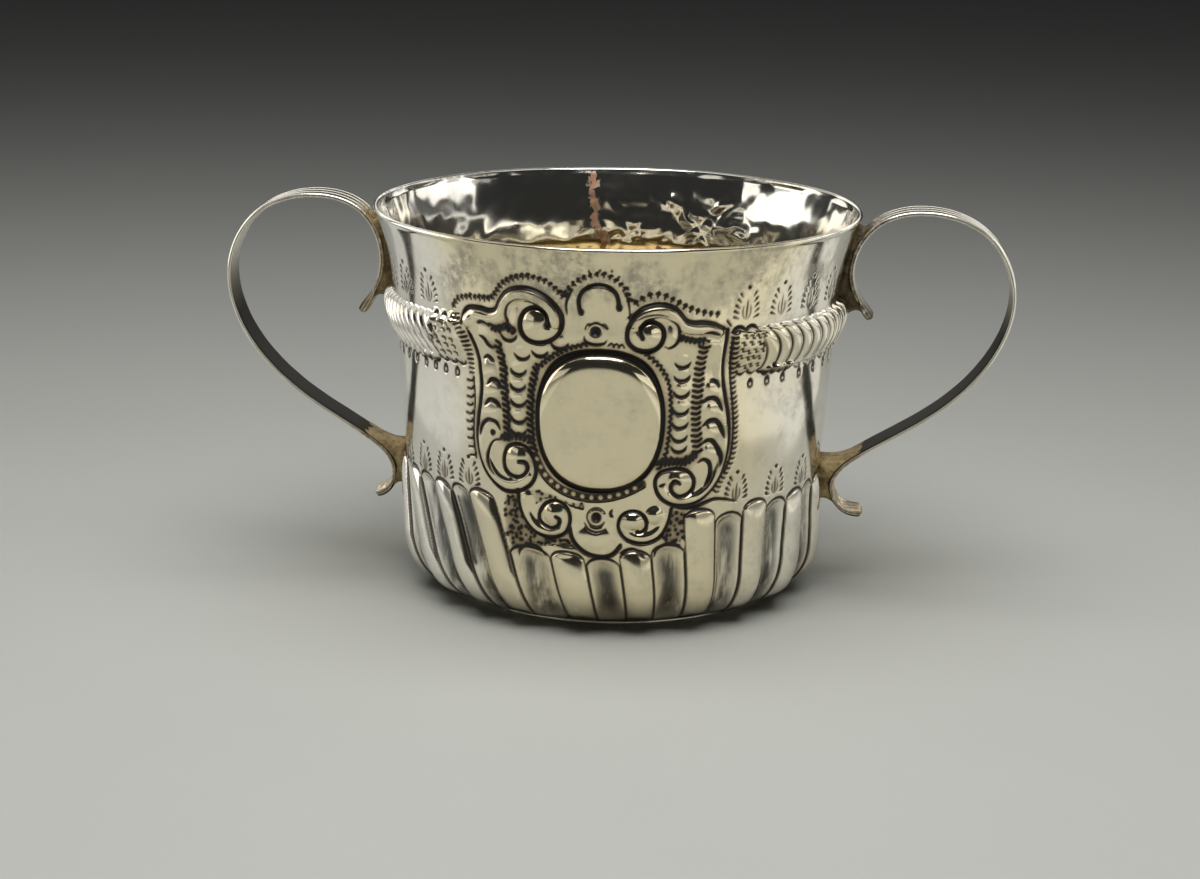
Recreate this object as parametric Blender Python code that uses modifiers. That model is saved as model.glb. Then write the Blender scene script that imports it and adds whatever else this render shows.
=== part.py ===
import bpy
import bmesh
import numpy as np
from math import cos, pi, radians, sin

# Metres, +Z up. The cup stands on Z = 0, its cartouche faces -Y and its right handle points along +X.

# Raised body
BODY_HEIGHT = 0.0730
RIM_RADIUS = 0.0460
NECK_RADIUS = 0.0424
WAIST_RADIUS = 0.0412
BELLY_RADIUS = 0.0395
BELLY_HEIGHT = 0.0115
BASE_RADIUS = 0.0318
WALL = 0.0009
LIP_ROUND = 0.0006
NECK_FLARE = 1.8
WAIST_EASE = 1.5

# Rope band between the neck and the waist: its lobes lean to the right and crowd together on the left
ROPE_DROP = 0.0198
ROPE_WIDTH = 0.0084
ROPE_SWELL = 0.0021
ROPE_LOBES = 100
ROPE_CROWDING = 0.21
ROPE_GROOVE_SHARE = 0.42
ROPE_NOTCH_SHARE = 0.12
ROPE_SLANT = radians(7.2)
ROPE_BEND = 1.25
ROPE_LEFT_STOP = radians(-35.0)
ROPE_RIGHT_STOP = radians(33.4)
ROPE_RUNOUT = radians(11.0)
ROPE_STOP_SHARE = 0.38

# Lobes and flutes, turn and turn about, round the foot of the body; in front their edges are set by eye
FLUTE_COUNT = 42
FLUTE_EDGES = [radians(turn) for turn in (-63.9, -55.2, -46.5, -39.1, -32.9, -24.3, -12.7, -3.3,
                                          5.8, 14.4, 23.5, 32.3, 40.6, 48.9, 57.3, 66.7)]
FLUTE_TOP = 0.0246
FLUTE_DEPTH = 0.0008
FLUTE_HOLLOW = 0.0009
FLUTE_ARCH = 0.0020
FLUTE_END = 0.0018
FLUTE_FADE = 0.0030
FLUTE_SLANT = 0.20
FLUTE_FAN = 0.28
FAN_TURN = radians(53.0)
FAN_END = radians(103.0)

# Cartouche on the front, which stops the rope and the flutes, and its oval boss
PANEL_HALF_ANGLE = radians(34.0)
PANEL_FOOT_ANGLE = radians(23.7)
PANEL_BOTTOM = 0.0168
PANEL_TOP = 0.0662
BOSS_HEIGHT = 0.0410
BOSS_HALF_WIDTH = 0.0112
BOSS_HALF_LENGTH = 0.0125
BOSS_SWELL = 0.0010
BOSS_SQUARE = 2.35

# Borders and scrolls of the cartouche, placed by shares of the panel's half width and height
RIB_WIDTH = 0.0022
RIB_RISE = 0.0005
RIBS = [
    [(-0.94, 0.76), (-0.91, 0.58), (-0.95, 0.40), (-0.89, 0.28), (-0.71, 0.22), (-0.52, 0.27)],
    [(0.89, 0.80), (0.90, 0.64), (0.97, 0.44), (0.94, 0.30), (0.76, 0.20), (0.53, 0.22), (0.48, 0.25)],
    [(-1.00, 0.83), (-0.81, 0.84), (-0.68, 0.91), (-0.51, 0.95), (-0.35, 0.91), (-0.30, 0.86)],
    [(0.24, 0.87), (0.40, 0.91), (0.54, 0.88), (0.67, 0.84), (0.85, 0.82)],
    [(-0.58, 0.18), (-0.48, 0.08), (-0.28, 0.08)],
    [(0.54, 0.14), (0.40, 0.06), (0.21, 0.08)],
]
SCROLL_RISE = 0.0006
SCROLLS = [(-0.46, 0.84, 0.0027), (0.34, 0.82, 0.0026), (-0.63, 0.32, 0.0026), (0.63, 0.26, 0.0026),
           (-0.33, 0.135, 0.0020), (0.28, 0.12, 0.0020), (-0.02, 0.05, 0.0030)]

# Wire under the base
FOOT_INSET = 0.0006
FOOT_WIDTH = 0.0018
FOOT_HEIGHT = 0.0012
FOOT_TOP_SHARE = 0.4
FOOT_SOLE_SHARE = 0.7

# Reeded straps: each is bent over an ear, with a spur below its upper seat and a tail below its lower one
STRAP_WIDTH = 0.0076
STRAP_THICKNESS = 0.0011
STRAP_REEDS = 3
REED_DEPTH = 0.00025
EDGE_SHARE = 0.8
TIP_SHARE = 0.75
HANDLE_SPAN = 0.0302
HANDLE_WIDEST_DROP = 0.0138
ARCH_RISE = 0.0012
ARCH_SPAN = 0.0141
UPPER_SEAT_DROP = 0.0124
SPUR_SPAN = 0.0040
SPUR_DROP = 0.0077
LOWER_SEAT_HEIGHT = 0.0203
TAIL_SPAN = 0.0062
TAIL_DROP = 0.0052

# Bends of the strap between those places, as shares of the spans and heights there
SHOULDER_SPAN_SHARE = 0.26
SHOULDER_RISE_SHARE = 0.76
CROWN_SHARE = 0.70
BOW_SPAN_SHARE = 0.875
BOW_RISE_SHARE = 0.645
SWEEP_SPAN_SHARE = 0.605
SWEEP_RISE_SHARE = 0.405
RUN_SPAN_SHARE = 0.205
RUN_RISE_SHARE = 0.185
CURL_SPAN_SHARE = 0.38
CURL_DROP_SHARE = 0.84

# Solder beds between the straps and the wall
SOLDER_BED = 0.0011
SOLDER_INSET = 0.0005
UPPER_SOLDER_RISE = 0.0100
UPPER_SOLDER_DROP = 0.0074
LOWER_SOLDER_RISE = 0.0059
LOWER_SOLDER_DROP = 0.0035
SOLDER_CREEP = 0.0052

# Clearance between soldered pieces, and how finely curves are cut
GAP = 0.0003
BODY_COLUMNS = 600
BODY_TRIANGLES = 11400
INNER_SHARE = 0.7
NECK_STEPS = 8
ROPE_STEPS = 20
WAIST_STEPS = 42
FLUTE_STEPS = 30
BASE_STEPS = 12
INNER_STEPS = 2
STRAP_STEPS = 42
FOOT_STEPS = 84
SEAT_STEPS = 24
MERGE = 0.000001
SHARP_ANGLE = radians(50.0)

BASE_HEIGHT = FOOT_HEIGHT + GAP
FLOOR_HEIGHT = BASE_HEIGHT + WALL
LIP_LOW = BODY_HEIGHT - LIP_ROUND
ROPE_HEIGHT = BODY_HEIGHT - ROPE_DROP
ROPE_TOP = ROPE_HEIGHT + ROPE_WIDTH / 2
ROPE_LOW = ROPE_HEIGHT - ROPE_WIDTH / 2
UPPER_SEAT_HEIGHT = BODY_HEIGHT - UPPER_SEAT_DROP


def ramp(value, low, high):
    return np.clip((value - low) / (high - low), 0.0, 1.0)


def ease(value, low, high):
    share = ramp(value, low, high)
    return share * share * (3 - 2 * share)


def quarter_round(share):
    return np.sqrt(np.maximum(0.0, 1 - (1 - share) ** 2))


# Outer radius of the plain wall, without rope, flutes or boss
def wall_radius(height):
    if height < BELLY_HEIGHT:
        share = ramp(height, BASE_HEIGHT, BELLY_HEIGHT)
        return BASE_RADIUS + (BELLY_RADIUS - BASE_RADIUS) * quarter_round(share)
    if height < ROPE_LOW:
        share = ease(height, BELLY_HEIGHT, ROPE_LOW) ** WAIST_EASE
        return BELLY_RADIUS + (WAIST_RADIUS - BELLY_RADIUS) * share
    if height < ROPE_TOP:
        return WAIST_RADIUS + (NECK_RADIUS - WAIST_RADIUS) * ease(height, ROPE_LOW, ROPE_TOP)
    return NECK_RADIUS + (RIM_RADIUS - NECK_RADIUS) * ramp(height, ROPE_TOP, BODY_HEIGHT) ** NECK_FLARE


def inner_radius(height):
    if height < BELLY_HEIGHT:
        share = ramp(height, FLOOR_HEIGHT, BELLY_HEIGHT)
        return BASE_RADIUS - WALL + (BELLY_RADIUS - BASE_RADIUS) * quarter_round(share)
    return wall_radius(height) - WALL


# Outer radius that the rope or the lobes reach, which the handles keep clear of
def greatest_radius(height):
    lobes = FLUTE_DEPTH if height < FLUTE_TOP else 0.0
    rope = quarter_round(1 - np.minimum(1.0, abs(height - ROPE_HEIGHT) / (ROPE_WIDTH / 2)))
    return wall_radius(height) + ROPE_SWELL * rope + lobes


# Half-round band, lobed by leaning grooves or plain, and flattened where the cartouche stops it
def rope_relief(turn, height, lobed):
    lean = ROPE_SLANT * ramp(ROPE_TOP - height, 0.0, ROPE_WIDTH) ** ROPE_BEND
    level = (turn - lean + pi) % (2 * pi) - pi
    lobe = ROPE_LOBES / (2 * pi) * (level + ROPE_CROWDING * np.cos(level))
    across = 2 * (lobe % 1) - 1
    crest = np.sqrt(1 - 0.96 * across * across * lobed)
    reach = ROPE_WIDTH / 2 * (1 - ROPE_NOTCH_SHARE * (1 - crest))
    section = quarter_round(1 - np.minimum(1.0, np.abs(height - ROPE_HEIGHT) / reach))
    beyond = np.maximum(ROPE_LEFT_STOP - turn, turn - ROPE_RIGHT_STOP) / ROPE_RUNOUT
    stand = (ROPE_STOP_SHARE + (1 - ROPE_STOP_SHARE) * ease(beyond, 0.0, 1.0)) * ease(beyond, 0.0, 0.1)
    groove = ROPE_GROOVE_SHARE * ease(beyond, 0.45, 1.0) * (1 - crest)
    return ROPE_SWELL * section * stand * (1 - groove)


# Lobes stand out and flutes go in, each under an arched top; they lean, and fan out from the front
def flute_relief(turn, height):
    behind = np.linspace(FLUTE_EDGES[-1], FLUTE_EDGES[0] + 2 * pi, FLUTE_COUNT - len(FLUTE_EDGES) + 2)
    edges = np.concatenate([FLUTE_EDGES, behind[1:-1]])
    edges = np.concatenate([edges - 2 * pi, edges, edges + 2 * pi])
    numbers = np.arange(len(edges)) - FLUTE_COUNT
    fan = FLUTE_FAN * np.clip(turn / FAN_TURN, -1.0, 1.0) * (1 - ease(np.abs(turn), FAN_TURN, FAN_END))
    level = turn - (FLUTE_SLANT - fan) * (PANEL_BOTTOM - height) / WAIST_RADIUS
    place = np.interp(level, edges, numbers)
    segment = np.floor(place)
    across = 2 * (place - segment) - 1
    middle = (np.interp(segment + 0.5, numbers, edges) + pi) % (2 * pi) - pi
    top = np.where(np.abs(middle) < PANEL_FOOT_ANGLE, PANEL_BOTTOM, FLUTE_TOP)
    arch = np.maximum(0.0, 1 - across * across)
    below = top - FLUTE_ARCH * (1 - np.sqrt(arch)) - height
    depth = np.where(segment % 2 == 0, FLUTE_DEPTH * arch ** 0.75, -FLUTE_HOLLOW * arch)
    return depth * ease(below, 0.0, FLUTE_END) * ease(height, BASE_HEIGHT, BASE_HEIGHT + FLUTE_FADE)


# Flat-topped oval
def boss_relief(turn, height):
    across = np.abs(turn * WAIST_RADIUS / BOSS_HALF_WIDTH) ** BOSS_SQUARE
    along = np.abs((height - BOSS_HEIGHT) / BOSS_HALF_LENGTH) ** BOSS_SQUARE
    return BOSS_SWELL * np.sqrt(np.maximum(0.0, 1 - (across + along) ** 2.5))


# Rounded ribs along the borders, and a dome for each scroll
def border_relief(turn, height):
    half_width = PANEL_HALF_ANGLE * WAIST_RADIUS
    tall = PANEL_TOP - PANEL_BOTTOM
    spots = np.stack([turn * WAIST_RADIUS, height - PANEL_BOTTOM], axis=1)
    nearest = np.full(len(spots), RIB_WIDTH)
    for rib in RIBS:
        line = np.array(rib) * (half_width, tall)
        for start, stop in zip(line[:-1], line[1:]):
            way = stop - start
            share = np.clip((spots - start) @ way / (way @ way), 0.0, 1.0)
            nearest = np.minimum(nearest, np.linalg.norm(spots - start - share[:, None] * way, axis=1))
    relief = RIB_RISE * np.maximum(0.0, 1 - (2 * nearest / RIB_WIDTH) ** 2)
    for across, along, radius in SCROLLS:
        far = np.linalg.norm(spots - (across * half_width, along * tall), axis=1)
        relief = np.maximum(relief, SCROLL_RISE * np.maximum(0.0, 1 - (far / radius) ** 2))
    return relief


# Evenly spaced heights from start, with stop left to the next run
def spaced(start, stop, count):
    return [start + (stop - start) * step / count for step in range(count)]


# Half section of the body: down the outer side to the axis, then from the axis up the inner side to the lip
def body_chains():
    heights = spaced(LIP_LOW, ROPE_TOP, NECK_STEPS) + spaced(ROPE_TOP, ROPE_LOW, ROPE_STEPS)
    heights += spaced(ROPE_LOW, FLUTE_TOP, WAIST_STEPS) + spaced(FLUTE_TOP, BELLY_HEIGHT, FLUTE_STEPS)
    rounds = [sin(pi / 2 * step / BASE_STEPS) for step in range(BASE_STEPS + 1)]
    belly = [BELLY_HEIGHT - (BELLY_HEIGHT - BASE_HEIGHT) * share for share in rounds]
    outer = [(wall_radius(height), height) for height in heights + belly] + [(0.0, BASE_HEIGHT)]
    belly = [BELLY_HEIGHT - (BELLY_HEIGHT - FLOOR_HEIGHT) * share for share in rounds[::-INNER_STEPS]]
    inside = belly[:-1] + heights[::-INNER_STEPS]
    inner = [(0.0, FLOOR_HEIGHT)] + [(inner_radius(height), height) for height in inside]
    inner += [(RIM_RADIUS - WALL, LIP_LOW), (RIM_RADIUS - WALL / 2, BODY_HEIGHT), outer[0]]
    return [outer, inner]


def new_material(name, colour, roughness, metallic):
    material = bpy.data.materials.new(name)
    material.use_nodes = True
    shader = material.node_tree.nodes["Principled BSDF"]
    shader.inputs["Base Color"].default_value = (*colour, 1.0)
    shader.inputs["Roughness"].default_value = roughness
    shader.inputs["Metallic"].default_value = metallic
    return material


def new_object(name, data, collection, material):
    piece = bpy.data.objects.new(name, data)
    data.materials.append(material)
    collection.objects.link(piece)
    return piece


# Mesh that a modifier makes of another mesh, which it uses up
def modified_mesh(mesh, kind, settings):
    guide = bpy.data.objects.new(mesh.name, mesh)
    bpy.context.scene.collection.objects.link(guide)
    modifier = guide.modifiers.new(kind, kind)
    for setting, value in settings.items():
        setattr(modifier, setting, value)
    made = bpy.data.meshes.new_from_object(guide.evaluated_get(bpy.context.evaluated_depsgraph_get()))
    name = mesh.name
    bpy.data.objects.remove(guide)
    bpy.data.meshes.remove(mesh)
    made.name = name
    return made


# Mesh turned about Z from chains of (radius, height) points
def turned_mesh(name, chains, steps):
    profile = bpy.data.meshes.new(name)
    points = []
    edges = []
    for chain in chains:
        first = len(points)
        points += [(radius, 0.0, height) for radius, height in chain]
        edges += [(first + step, first + step + 1) for step in range(len(chain) - 1)]
    profile.from_pydata(points, edges, [])
    turn = {"steps": steps, "render_steps": steps, "use_merge_vertices": True, "merge_threshold": MERGE}
    turned = modified_mesh(profile, "SCREW", turn)
    shell = bmesh.new()
    shell.from_mesh(turned)
    bmesh.ops.remove_doubles(shell, verts=shell.verts, dist=MERGE)
    shell.to_mesh(turned)
    shell.free()
    turned.shade_smooth()
    return turned


# The turned wall is chased all over, then thinned to fewer triangles, most of them where it bends
def make_body(collection, material):
    mesh = turned_mesh("cup_body", body_chains(), BODY_COLUMNS)
    points = np.empty(3 * len(mesh.vertices))
    mesh.vertices.foreach_get("co", points)
    x, y, height = points.reshape(-1, 3).T
    radius = np.hypot(x, y)
    turn = np.arctan2(x, -y)
    outside = radius > np.array([wall_radius(place) for place in height]) - WALL / 4
    flutes = flute_relief(turn, height)
    outer = rope_relief(turn, height, True) + flutes
    outer += np.maximum(boss_relief(turn, height), border_relief(turn, height))
    inner = INNER_SHARE * (rope_relief(turn, height, False) + flutes)
    radius += np.where(outside, outer, np.where(radius > MERGE, inner, 0.0))
    chased = np.stack([radius * np.sin(turn), -radius * np.cos(turn), height], axis=1)
    mesh.vertices.foreach_set("co", chased.ravel())
    mesh.calc_loop_triangles()
    ratio = BODY_TRIANGLES / len(mesh.loop_triangles)
    mesh = modified_mesh(mesh, "DECIMATE", {"ratio": ratio, "use_collapse_triangulate": True})
    mesh.set_sharp_from_angle(angle=SHARP_ANGLE)
    new_object("cup_body", mesh, collection, material)


# Flattened wire: round sides, a narrow top under the base and a flat underside to stand on
def make_foot(collection, material):
    outer = BASE_RADIUS - FOOT_INSET
    middle = outer - FOOT_WIDTH / 2
    half_top = FOOT_WIDTH * FOOT_TOP_SHARE / 2
    half_sole = FOOT_WIDTH * FOOT_SOLE_SHARE / 2
    section = [
        (middle + half_top, FOOT_HEIGHT),
        (outer, FOOT_HEIGHT / 2),
        (middle + half_sole, 0.0),
        (middle - half_sole, 0.0),
        (outer - FOOT_WIDTH, FOOT_HEIGHT / 2),
        (middle - half_top, FOOT_HEIGHT),
    ]
    mesh = turned_mesh("foot_wire", [section + section[:1]], FOOT_STEPS)
    new_object("foot_wire", mesh, collection, material)


# Reach of a strap's centreline whose bends, given as (height, span) on each side of the seat, clear the wall
def seat_reach(seat_height, bends):
    reaches = []
    for height, span in bends:
        for share in np.linspace(0.0, 1.0, SEAT_STEPS):
            place = seat_height + (height - seat_height) * share
            reaches.append(greatest_radius(place) - span * share * share)
    return max(reaches) + SOLDER_BED + STRAP_THICKNESS / 2


# Reach and height of the strap's centreline, from the spur's tip to the tail's tip
def handle_stations():
    apex = BODY_HEIGHT + ARCH_RISE - STRAP_THICKNESS / 2
    widest = BODY_HEIGHT - HANDLE_WIDEST_DROP
    climb = apex - UPPER_SEAT_HEIGHT
    fall = widest - LOWER_SEAT_HEIGHT
    spur = (UPPER_SEAT_HEIGHT - SPUR_DROP, SPUR_SPAN)
    shoulder = (UPPER_SEAT_HEIGHT + climb * SHOULDER_RISE_SHARE, ARCH_SPAN * SHOULDER_SPAN_SHARE)
    run = (LOWER_SEAT_HEIGHT + fall * RUN_RISE_SHARE, HANDLE_SPAN * RUN_SPAN_SHARE)
    curl = (LOWER_SEAT_HEIGHT - TAIL_DROP * CURL_DROP_SHARE, TAIL_SPAN * CURL_SPAN_SHARE)
    upper = seat_reach(UPPER_SEAT_HEIGHT, [spur, shoulder])
    lower = seat_reach(LOWER_SEAT_HEIGHT, [run, curl])
    crown = upper + ARCH_SPAN
    outermost = upper + HANDLE_SPAN
    span = outermost - lower
    return [
        (upper + spur[1], spur[0]),
        (upper, UPPER_SEAT_HEIGHT),
        (upper + shoulder[1], shoulder[0]),
        (crown, apex),
        (crown + (outermost - crown) * CROWN_SHARE, widest + (apex - widest) * CROWN_SHARE),
        (outermost, widest),
        (lower + span * BOW_SPAN_SHARE, LOWER_SEAT_HEIGHT + fall * BOW_RISE_SHARE),
        (lower + span * SWEEP_SPAN_SHARE, LOWER_SEAT_HEIGHT + fall * SWEEP_RISE_SHARE),
        (lower + run[1], run[0]),
        (lower, LOWER_SEAT_HEIGHT),
        (lower + curl[1], curl[0]),
        (lower + TAIL_SPAN, LOWER_SEAT_HEIGHT - TAIL_DROP),
    ]


# Points along the natural cubic spline through the stations
def spline_points(stations, count):
    knots = np.array(stations)
    chords = np.linalg.norm(np.diff(knots, axis=0), axis=1)
    places = np.concatenate([[0.0], np.cumsum(chords)])
    last = len(knots) - 1
    matrix = np.eye(last + 1)
    right = np.zeros((last + 1, 2))
    for row in range(1, last):
        before, after = chords[row - 1], chords[row]
        matrix[row, row - 1:row + 2] = before, 2 * (before + after), after
        right[row] = 6 * ((knots[row + 1] - knots[row]) / after - (knots[row] - knots[row - 1]) / before)
    bends = np.linalg.solve(matrix, right)
    points = []
    for place in np.linspace(0.0, places[-1], count):
        cell = min(int(np.searchsorted(places, place, side="right")) - 1, last - 1)
        chord = chords[cell]
        near = place - places[cell]
        far = chord - near
        point = (bends[cell] * far ** 3 + bends[cell + 1] * near ** 3) / (6 * chord)
        point += (knots[cell] / chord - bends[cell] * chord / 6) * far
        point += (knots[cell + 1] / chord - bends[cell + 1] * chord / 6) * near
        points.append(point)
    return np.array(points)


# Points moved sideways, to the left of their direction of travel
def offset_points(points, distance):
    along = np.gradient(points, axis=0)
    along /= np.linalg.norm(along, axis=1)[:, None]
    return points + distance * np.stack([-along[:, 1], along[:, 0]], axis=1)


def outline_curve(name, points, dimensions):
    curve = bpy.data.curves.new(name, "CURVE")
    curve.dimensions = dimensions
    spline = curve.splines.new("POLY")
    spline.points.add(len(points) - 1)
    for point, (x, y) in zip(spline.points, points):
        point.co = (x, y, 0.0, 1.0)
    return curve


# Cross section of the strap: plain towards the fingers, reeded outside, with rounded edges
def strap_section():
    half_width = STRAP_WIDTH / 2
    half = STRAP_THICKNESS / 2
    reeded = half_width - half * EDGE_SHARE
    section = [(0.0, -half_width), (-half, -reeded), (-half, reeded), (0.0, half_width)]
    for step in range(2 * STRAP_REEDS + 1):
        groove = 0.0 if step % 2 else REED_DEPTH
        section.append((half - groove, reeded - reeded * step / STRAP_REEDS))
    return section


def make_handles(parts, guides, material):
    section = outline_curve("strap_section", strap_section(), "2D")
    section.splines[0].use_cyclic_u = True
    guide = bpy.data.objects.new("strap_section", section)
    guide.hide_render = True
    guide.display_type = "WIRE"
    guides.objects.link(guide)
    for name, turn in (("right_handle", 0.0), ("left_handle", pi)):
        strap = outline_curve(name, spline_points(handle_stations(), STRAP_STEPS), "3D")
        strap.splines[0].points[0].radius = TIP_SHARE
        strap.splines[0].points[-1].radius = TIP_SHARE
        strap.twist_mode = "Z_UP"
        strap.bevel_mode = "OBJECT"
        strap.bevel_object = guide
        strap.use_fill_caps = True
        handle = new_object(name, strap, parts, material)
        handle.rotation_euler = (pi / 2, 0.0, turn)


# Solder fills the space between the wall, from low to high, and a stretch of the strap's face
def make_seat(name, low, high, strap_face, parts, material):
    wall = [(greatest_radius(height) + GAP, height) for height in np.linspace(low, high, SEAT_STEPS)]
    for side, turn in (("right_", 0.0), ("left_", pi)):
        curve = outline_curve(side + name, wall + strap_face, "2D")
        curve.splines[0].use_cyclic_u = True
        curve.fill_mode = "BOTH"
        curve.extrude = STRAP_WIDTH / 2 - SOLDER_INSET
        seat = new_object(side + name, curve, parts, material)
        seat.rotation_euler = (pi / 2, 0.0, turn)


def make_solder(parts, material):
    stations = handle_stations()
    points = spline_points(stations, STRAP_STEPS * 2)
    clear = STRAP_THICKNESS / 2 + GAP
    middle = len(points) // 2
    upper_low = UPPER_SEAT_HEIGHT - UPPER_SOLDER_DROP
    upper_top = UPPER_SEAT_HEIGHT + UPPER_SOLDER_RISE
    upper_face = offset_points(points, clear)[:middle]
    upper = [tuple(spot) for spot in upper_face if upper_low + GAP < spot[1] < upper_top + STRAP_THICKNESS
             and spot[0] < stations[1][0] + SOLDER_CREEP]
    make_seat("upper_solder", upper_low, upper_top, upper[::-1], parts, material)
    lower_low = LOWER_SEAT_HEIGHT - LOWER_SOLDER_DROP
    lower_face = offset_points(points, -clear)[middle:]
    lower = [tuple(spot) for spot in lower_face if lower_low < spot[1]
             and spot[0] < stations[-3][0] + SOLDER_CREEP]
    make_seat("lower_solder", lower_low, LOWER_SEAT_HEIGHT + LOWER_SOLDER_RISE, lower, parts, material)


def main():
    for old in list(bpy.data.objects):
        bpy.data.objects.remove(old)
    parts = bpy.data.collections.new("caudle_cup")
    guides = bpy.data.collections.new("guides")
    bpy.context.scene.collection.children.link(parts)
    bpy.context.scene.collection.children.link(guides)
    silver = new_material("silver", (0.72, 0.69, 0.60), 0.22, 1.0)
    strap_silver = new_material("strap_silver", (0.70, 0.66, 0.56), 0.25, 1.0)
    solder = new_material("solder", (0.30, 0.21, 0.10), 0.60, 0.7)
    make_body(parts, silver)
    make_foot(parts, strap_silver)
    make_handles(parts, guides, strap_silver)
    make_solder(parts, solder)


main()
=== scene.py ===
import math
import bpy
import numpy as np
from mathutils import Matrix


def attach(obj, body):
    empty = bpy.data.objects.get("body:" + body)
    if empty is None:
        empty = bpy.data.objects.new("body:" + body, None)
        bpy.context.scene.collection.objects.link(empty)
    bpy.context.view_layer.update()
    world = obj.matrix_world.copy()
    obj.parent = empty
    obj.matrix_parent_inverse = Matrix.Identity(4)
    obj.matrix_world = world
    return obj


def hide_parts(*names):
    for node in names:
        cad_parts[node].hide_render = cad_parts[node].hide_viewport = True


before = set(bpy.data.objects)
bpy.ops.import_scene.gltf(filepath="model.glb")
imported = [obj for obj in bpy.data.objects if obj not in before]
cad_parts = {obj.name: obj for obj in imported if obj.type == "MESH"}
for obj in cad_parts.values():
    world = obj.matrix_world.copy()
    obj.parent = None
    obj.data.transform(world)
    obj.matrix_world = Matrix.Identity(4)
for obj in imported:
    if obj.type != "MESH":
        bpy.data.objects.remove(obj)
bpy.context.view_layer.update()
print("frame loaded with", len(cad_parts), "nodes")

milli = 0.001  # the silver below is laid out in millimetres


# A socket that can be added, subtracted and multiplied like a number
class Wire:
    def __init__(self, finish, socket):
        self.finish = finish
        self.socket = socket

    def calc(self, operation, first, second):
        return self.finish.node("ShaderNodeMath", {"operation": operation}, {0: first, 1: second})

    def __add__(self, other):
        return self.calc("ADD", self, other)

    def __radd__(self, other):
        return self.calc("ADD", other, self)

    def __sub__(self, other):
        return self.calc("SUBTRACT", self, other)

    def __rsub__(self, other):
        return self.calc("SUBTRACT", other, self)

    def __mul__(self, other):
        return self.calc("MULTIPLY", self, other)

    def __rmul__(self, other):
        return self.calc("MULTIPLY", other, self)


# One material and the nodes behind its shader
class Finish:
    def __init__(self, name):
        self.material = bpy.data.materials.new(name)
        self.material.use_nodes = True
        self.tree = self.material.node_tree
        self.shader = self.tree.nodes["Principled BSDF"]

    def plug(self, target, value):
        if isinstance(value, Wire):
            self.tree.links.new(value.socket, target)
        else:
            target.default_value = value

    def node(self, kind, settings=None, sockets=None, out=0):
        made = self.tree.nodes.new(kind)
        for key, value in (settings or {}).items():
            setattr(made, key, value)
        for key, value in (sockets or {}).items():
            self.plug(made.inputs[key], value)
        return Wire(self, made.outputs[out])

    def spot(self):
        return self.node("ShaderNodeTexCoord", out="Object")

    def parts(self, spot):
        first = self.node("ShaderNodeSeparateXYZ", None, {0: spot})
        return [Wire(self, socket) for socket in first.socket.node.outputs]

    def mask(self, name):
        return self.node("ShaderNodeAttribute", {"attribute_name": name}, out="Fac")

    def noise(self, spot, size, detail, roughness):
        sockets = {"Vector": spot, "Scale": 1 / (size * milli), "Detail": detail, "Roughness": roughness}
        return self.node("ShaderNodeTexNoise", None, sockets, out="Fac")

    def ease(self, value, low, high):
        sockets = {"Value": value, "From Min": low, "From Max": high}
        return self.node("ShaderNodeMapRange", {"interpolation_type": "SMOOTHSTEP"}, sockets)

    def stretch(self, spot, scale):
        return self.node("ShaderNodeVectorMath", {"operation": "MULTIPLY"}, {0: spot, 1: scale})

    def tint(self, share, first, second):
        return self.node("ShaderNodeMix", {"data_type": "RGBA"}, {0: share, 6: first, 7: second}, out=2)

    def bump(self, height, strength, distance):
        sockets = {"Height": height, "Strength": strength, "Distance": distance * milli}
        return self.node("ShaderNodeBump", None, sockets)

    def set(self, **values):
        for name, value in values.items():
            socket = "".join(" " + letter if letter.isupper() else letter for letter in name).strip()
            self.plug(self.shader.inputs[socket], value)


# Raised body

cupBody = {
    "height": 73.0, "rim": 46.0, "neck": 42.4, "waist": 41.2, "belly": 39.5, "base": 31.8,
    "bellyHeight": 11.5, "baseHeight": 1.5, "bandLow": 49.0, "bandTop": 57.4,
    "sheet": 0.9, "lip": 0.6, "lipHalf": 0.53, "flare": 1.8, "waistEase": 1.5,
    "unrolled": 41.5, "pitch": 0.125,
    "frontGrain": 0.2, "backGrain": 0.28, "frontReach": 30.0,
    "ripple": 0.042, "dents": 0.045, "crinkle": 0.38, "crinkleTurn": 2.94,
    "soleRings": (4.0, 12.0, 20.0, 27.0, 30.6), "floorRings": (30.0, 26.0, 20.0, 13.0, 7.0, 3.0, 1.2),
}
ropeBand = {
    "height": 53.2, "half": 4.2, "notch": 0.12, "swell": 2.1, "groove": 0.62, "lobes": 100, "crowding": 0.21,
    "lean": 7.2, "bend": 0.85, "bow": 0.42, "swingBack": 0.5,
    "rightFrom": (0.2, 0.9), "rightTo": (3.0, 2.0), "rightLean": 0.2,
    "leftStop": -35.0, "rightStop": 33.4, "runout": 11.0, "stopShare": 0.38,
}
fluteRing = {
    "edges": [-46.3, -40.0, -33.7, -28.3, -23.8, -17.6, -9.2, -2.4,
              4.2, 10.4, 17.0, 23.4, 29.4, 35.4, 41.5, 48.3],
    "count": 42, "edgeHeight": 16.8, "slant": 0.2, "fan": 0.28, "fanTurn": 53.0, "fanEnd": 103.0,
    "lobe": 1.1, "hollow": 0.95, "dome": 5.0, "arch": 2.0, "line": 0.5, "archLine": 0.32,
    "tops": [(-131, 24.8), (-34, 25.6), (-19, 25.9), (-17.2, 17.0), (-12, 16.6), (-5, 16.6), (1, 15.6),
             (7.5, 17.2), (13.5, 18.0), (16.6, 18.6), (17.4, 24.2), (22, 24.4), (26.5, 22.9), (32, 24.6),
             (38, 23.6), (46, 24.2), (131, 24.8)],
}
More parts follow.
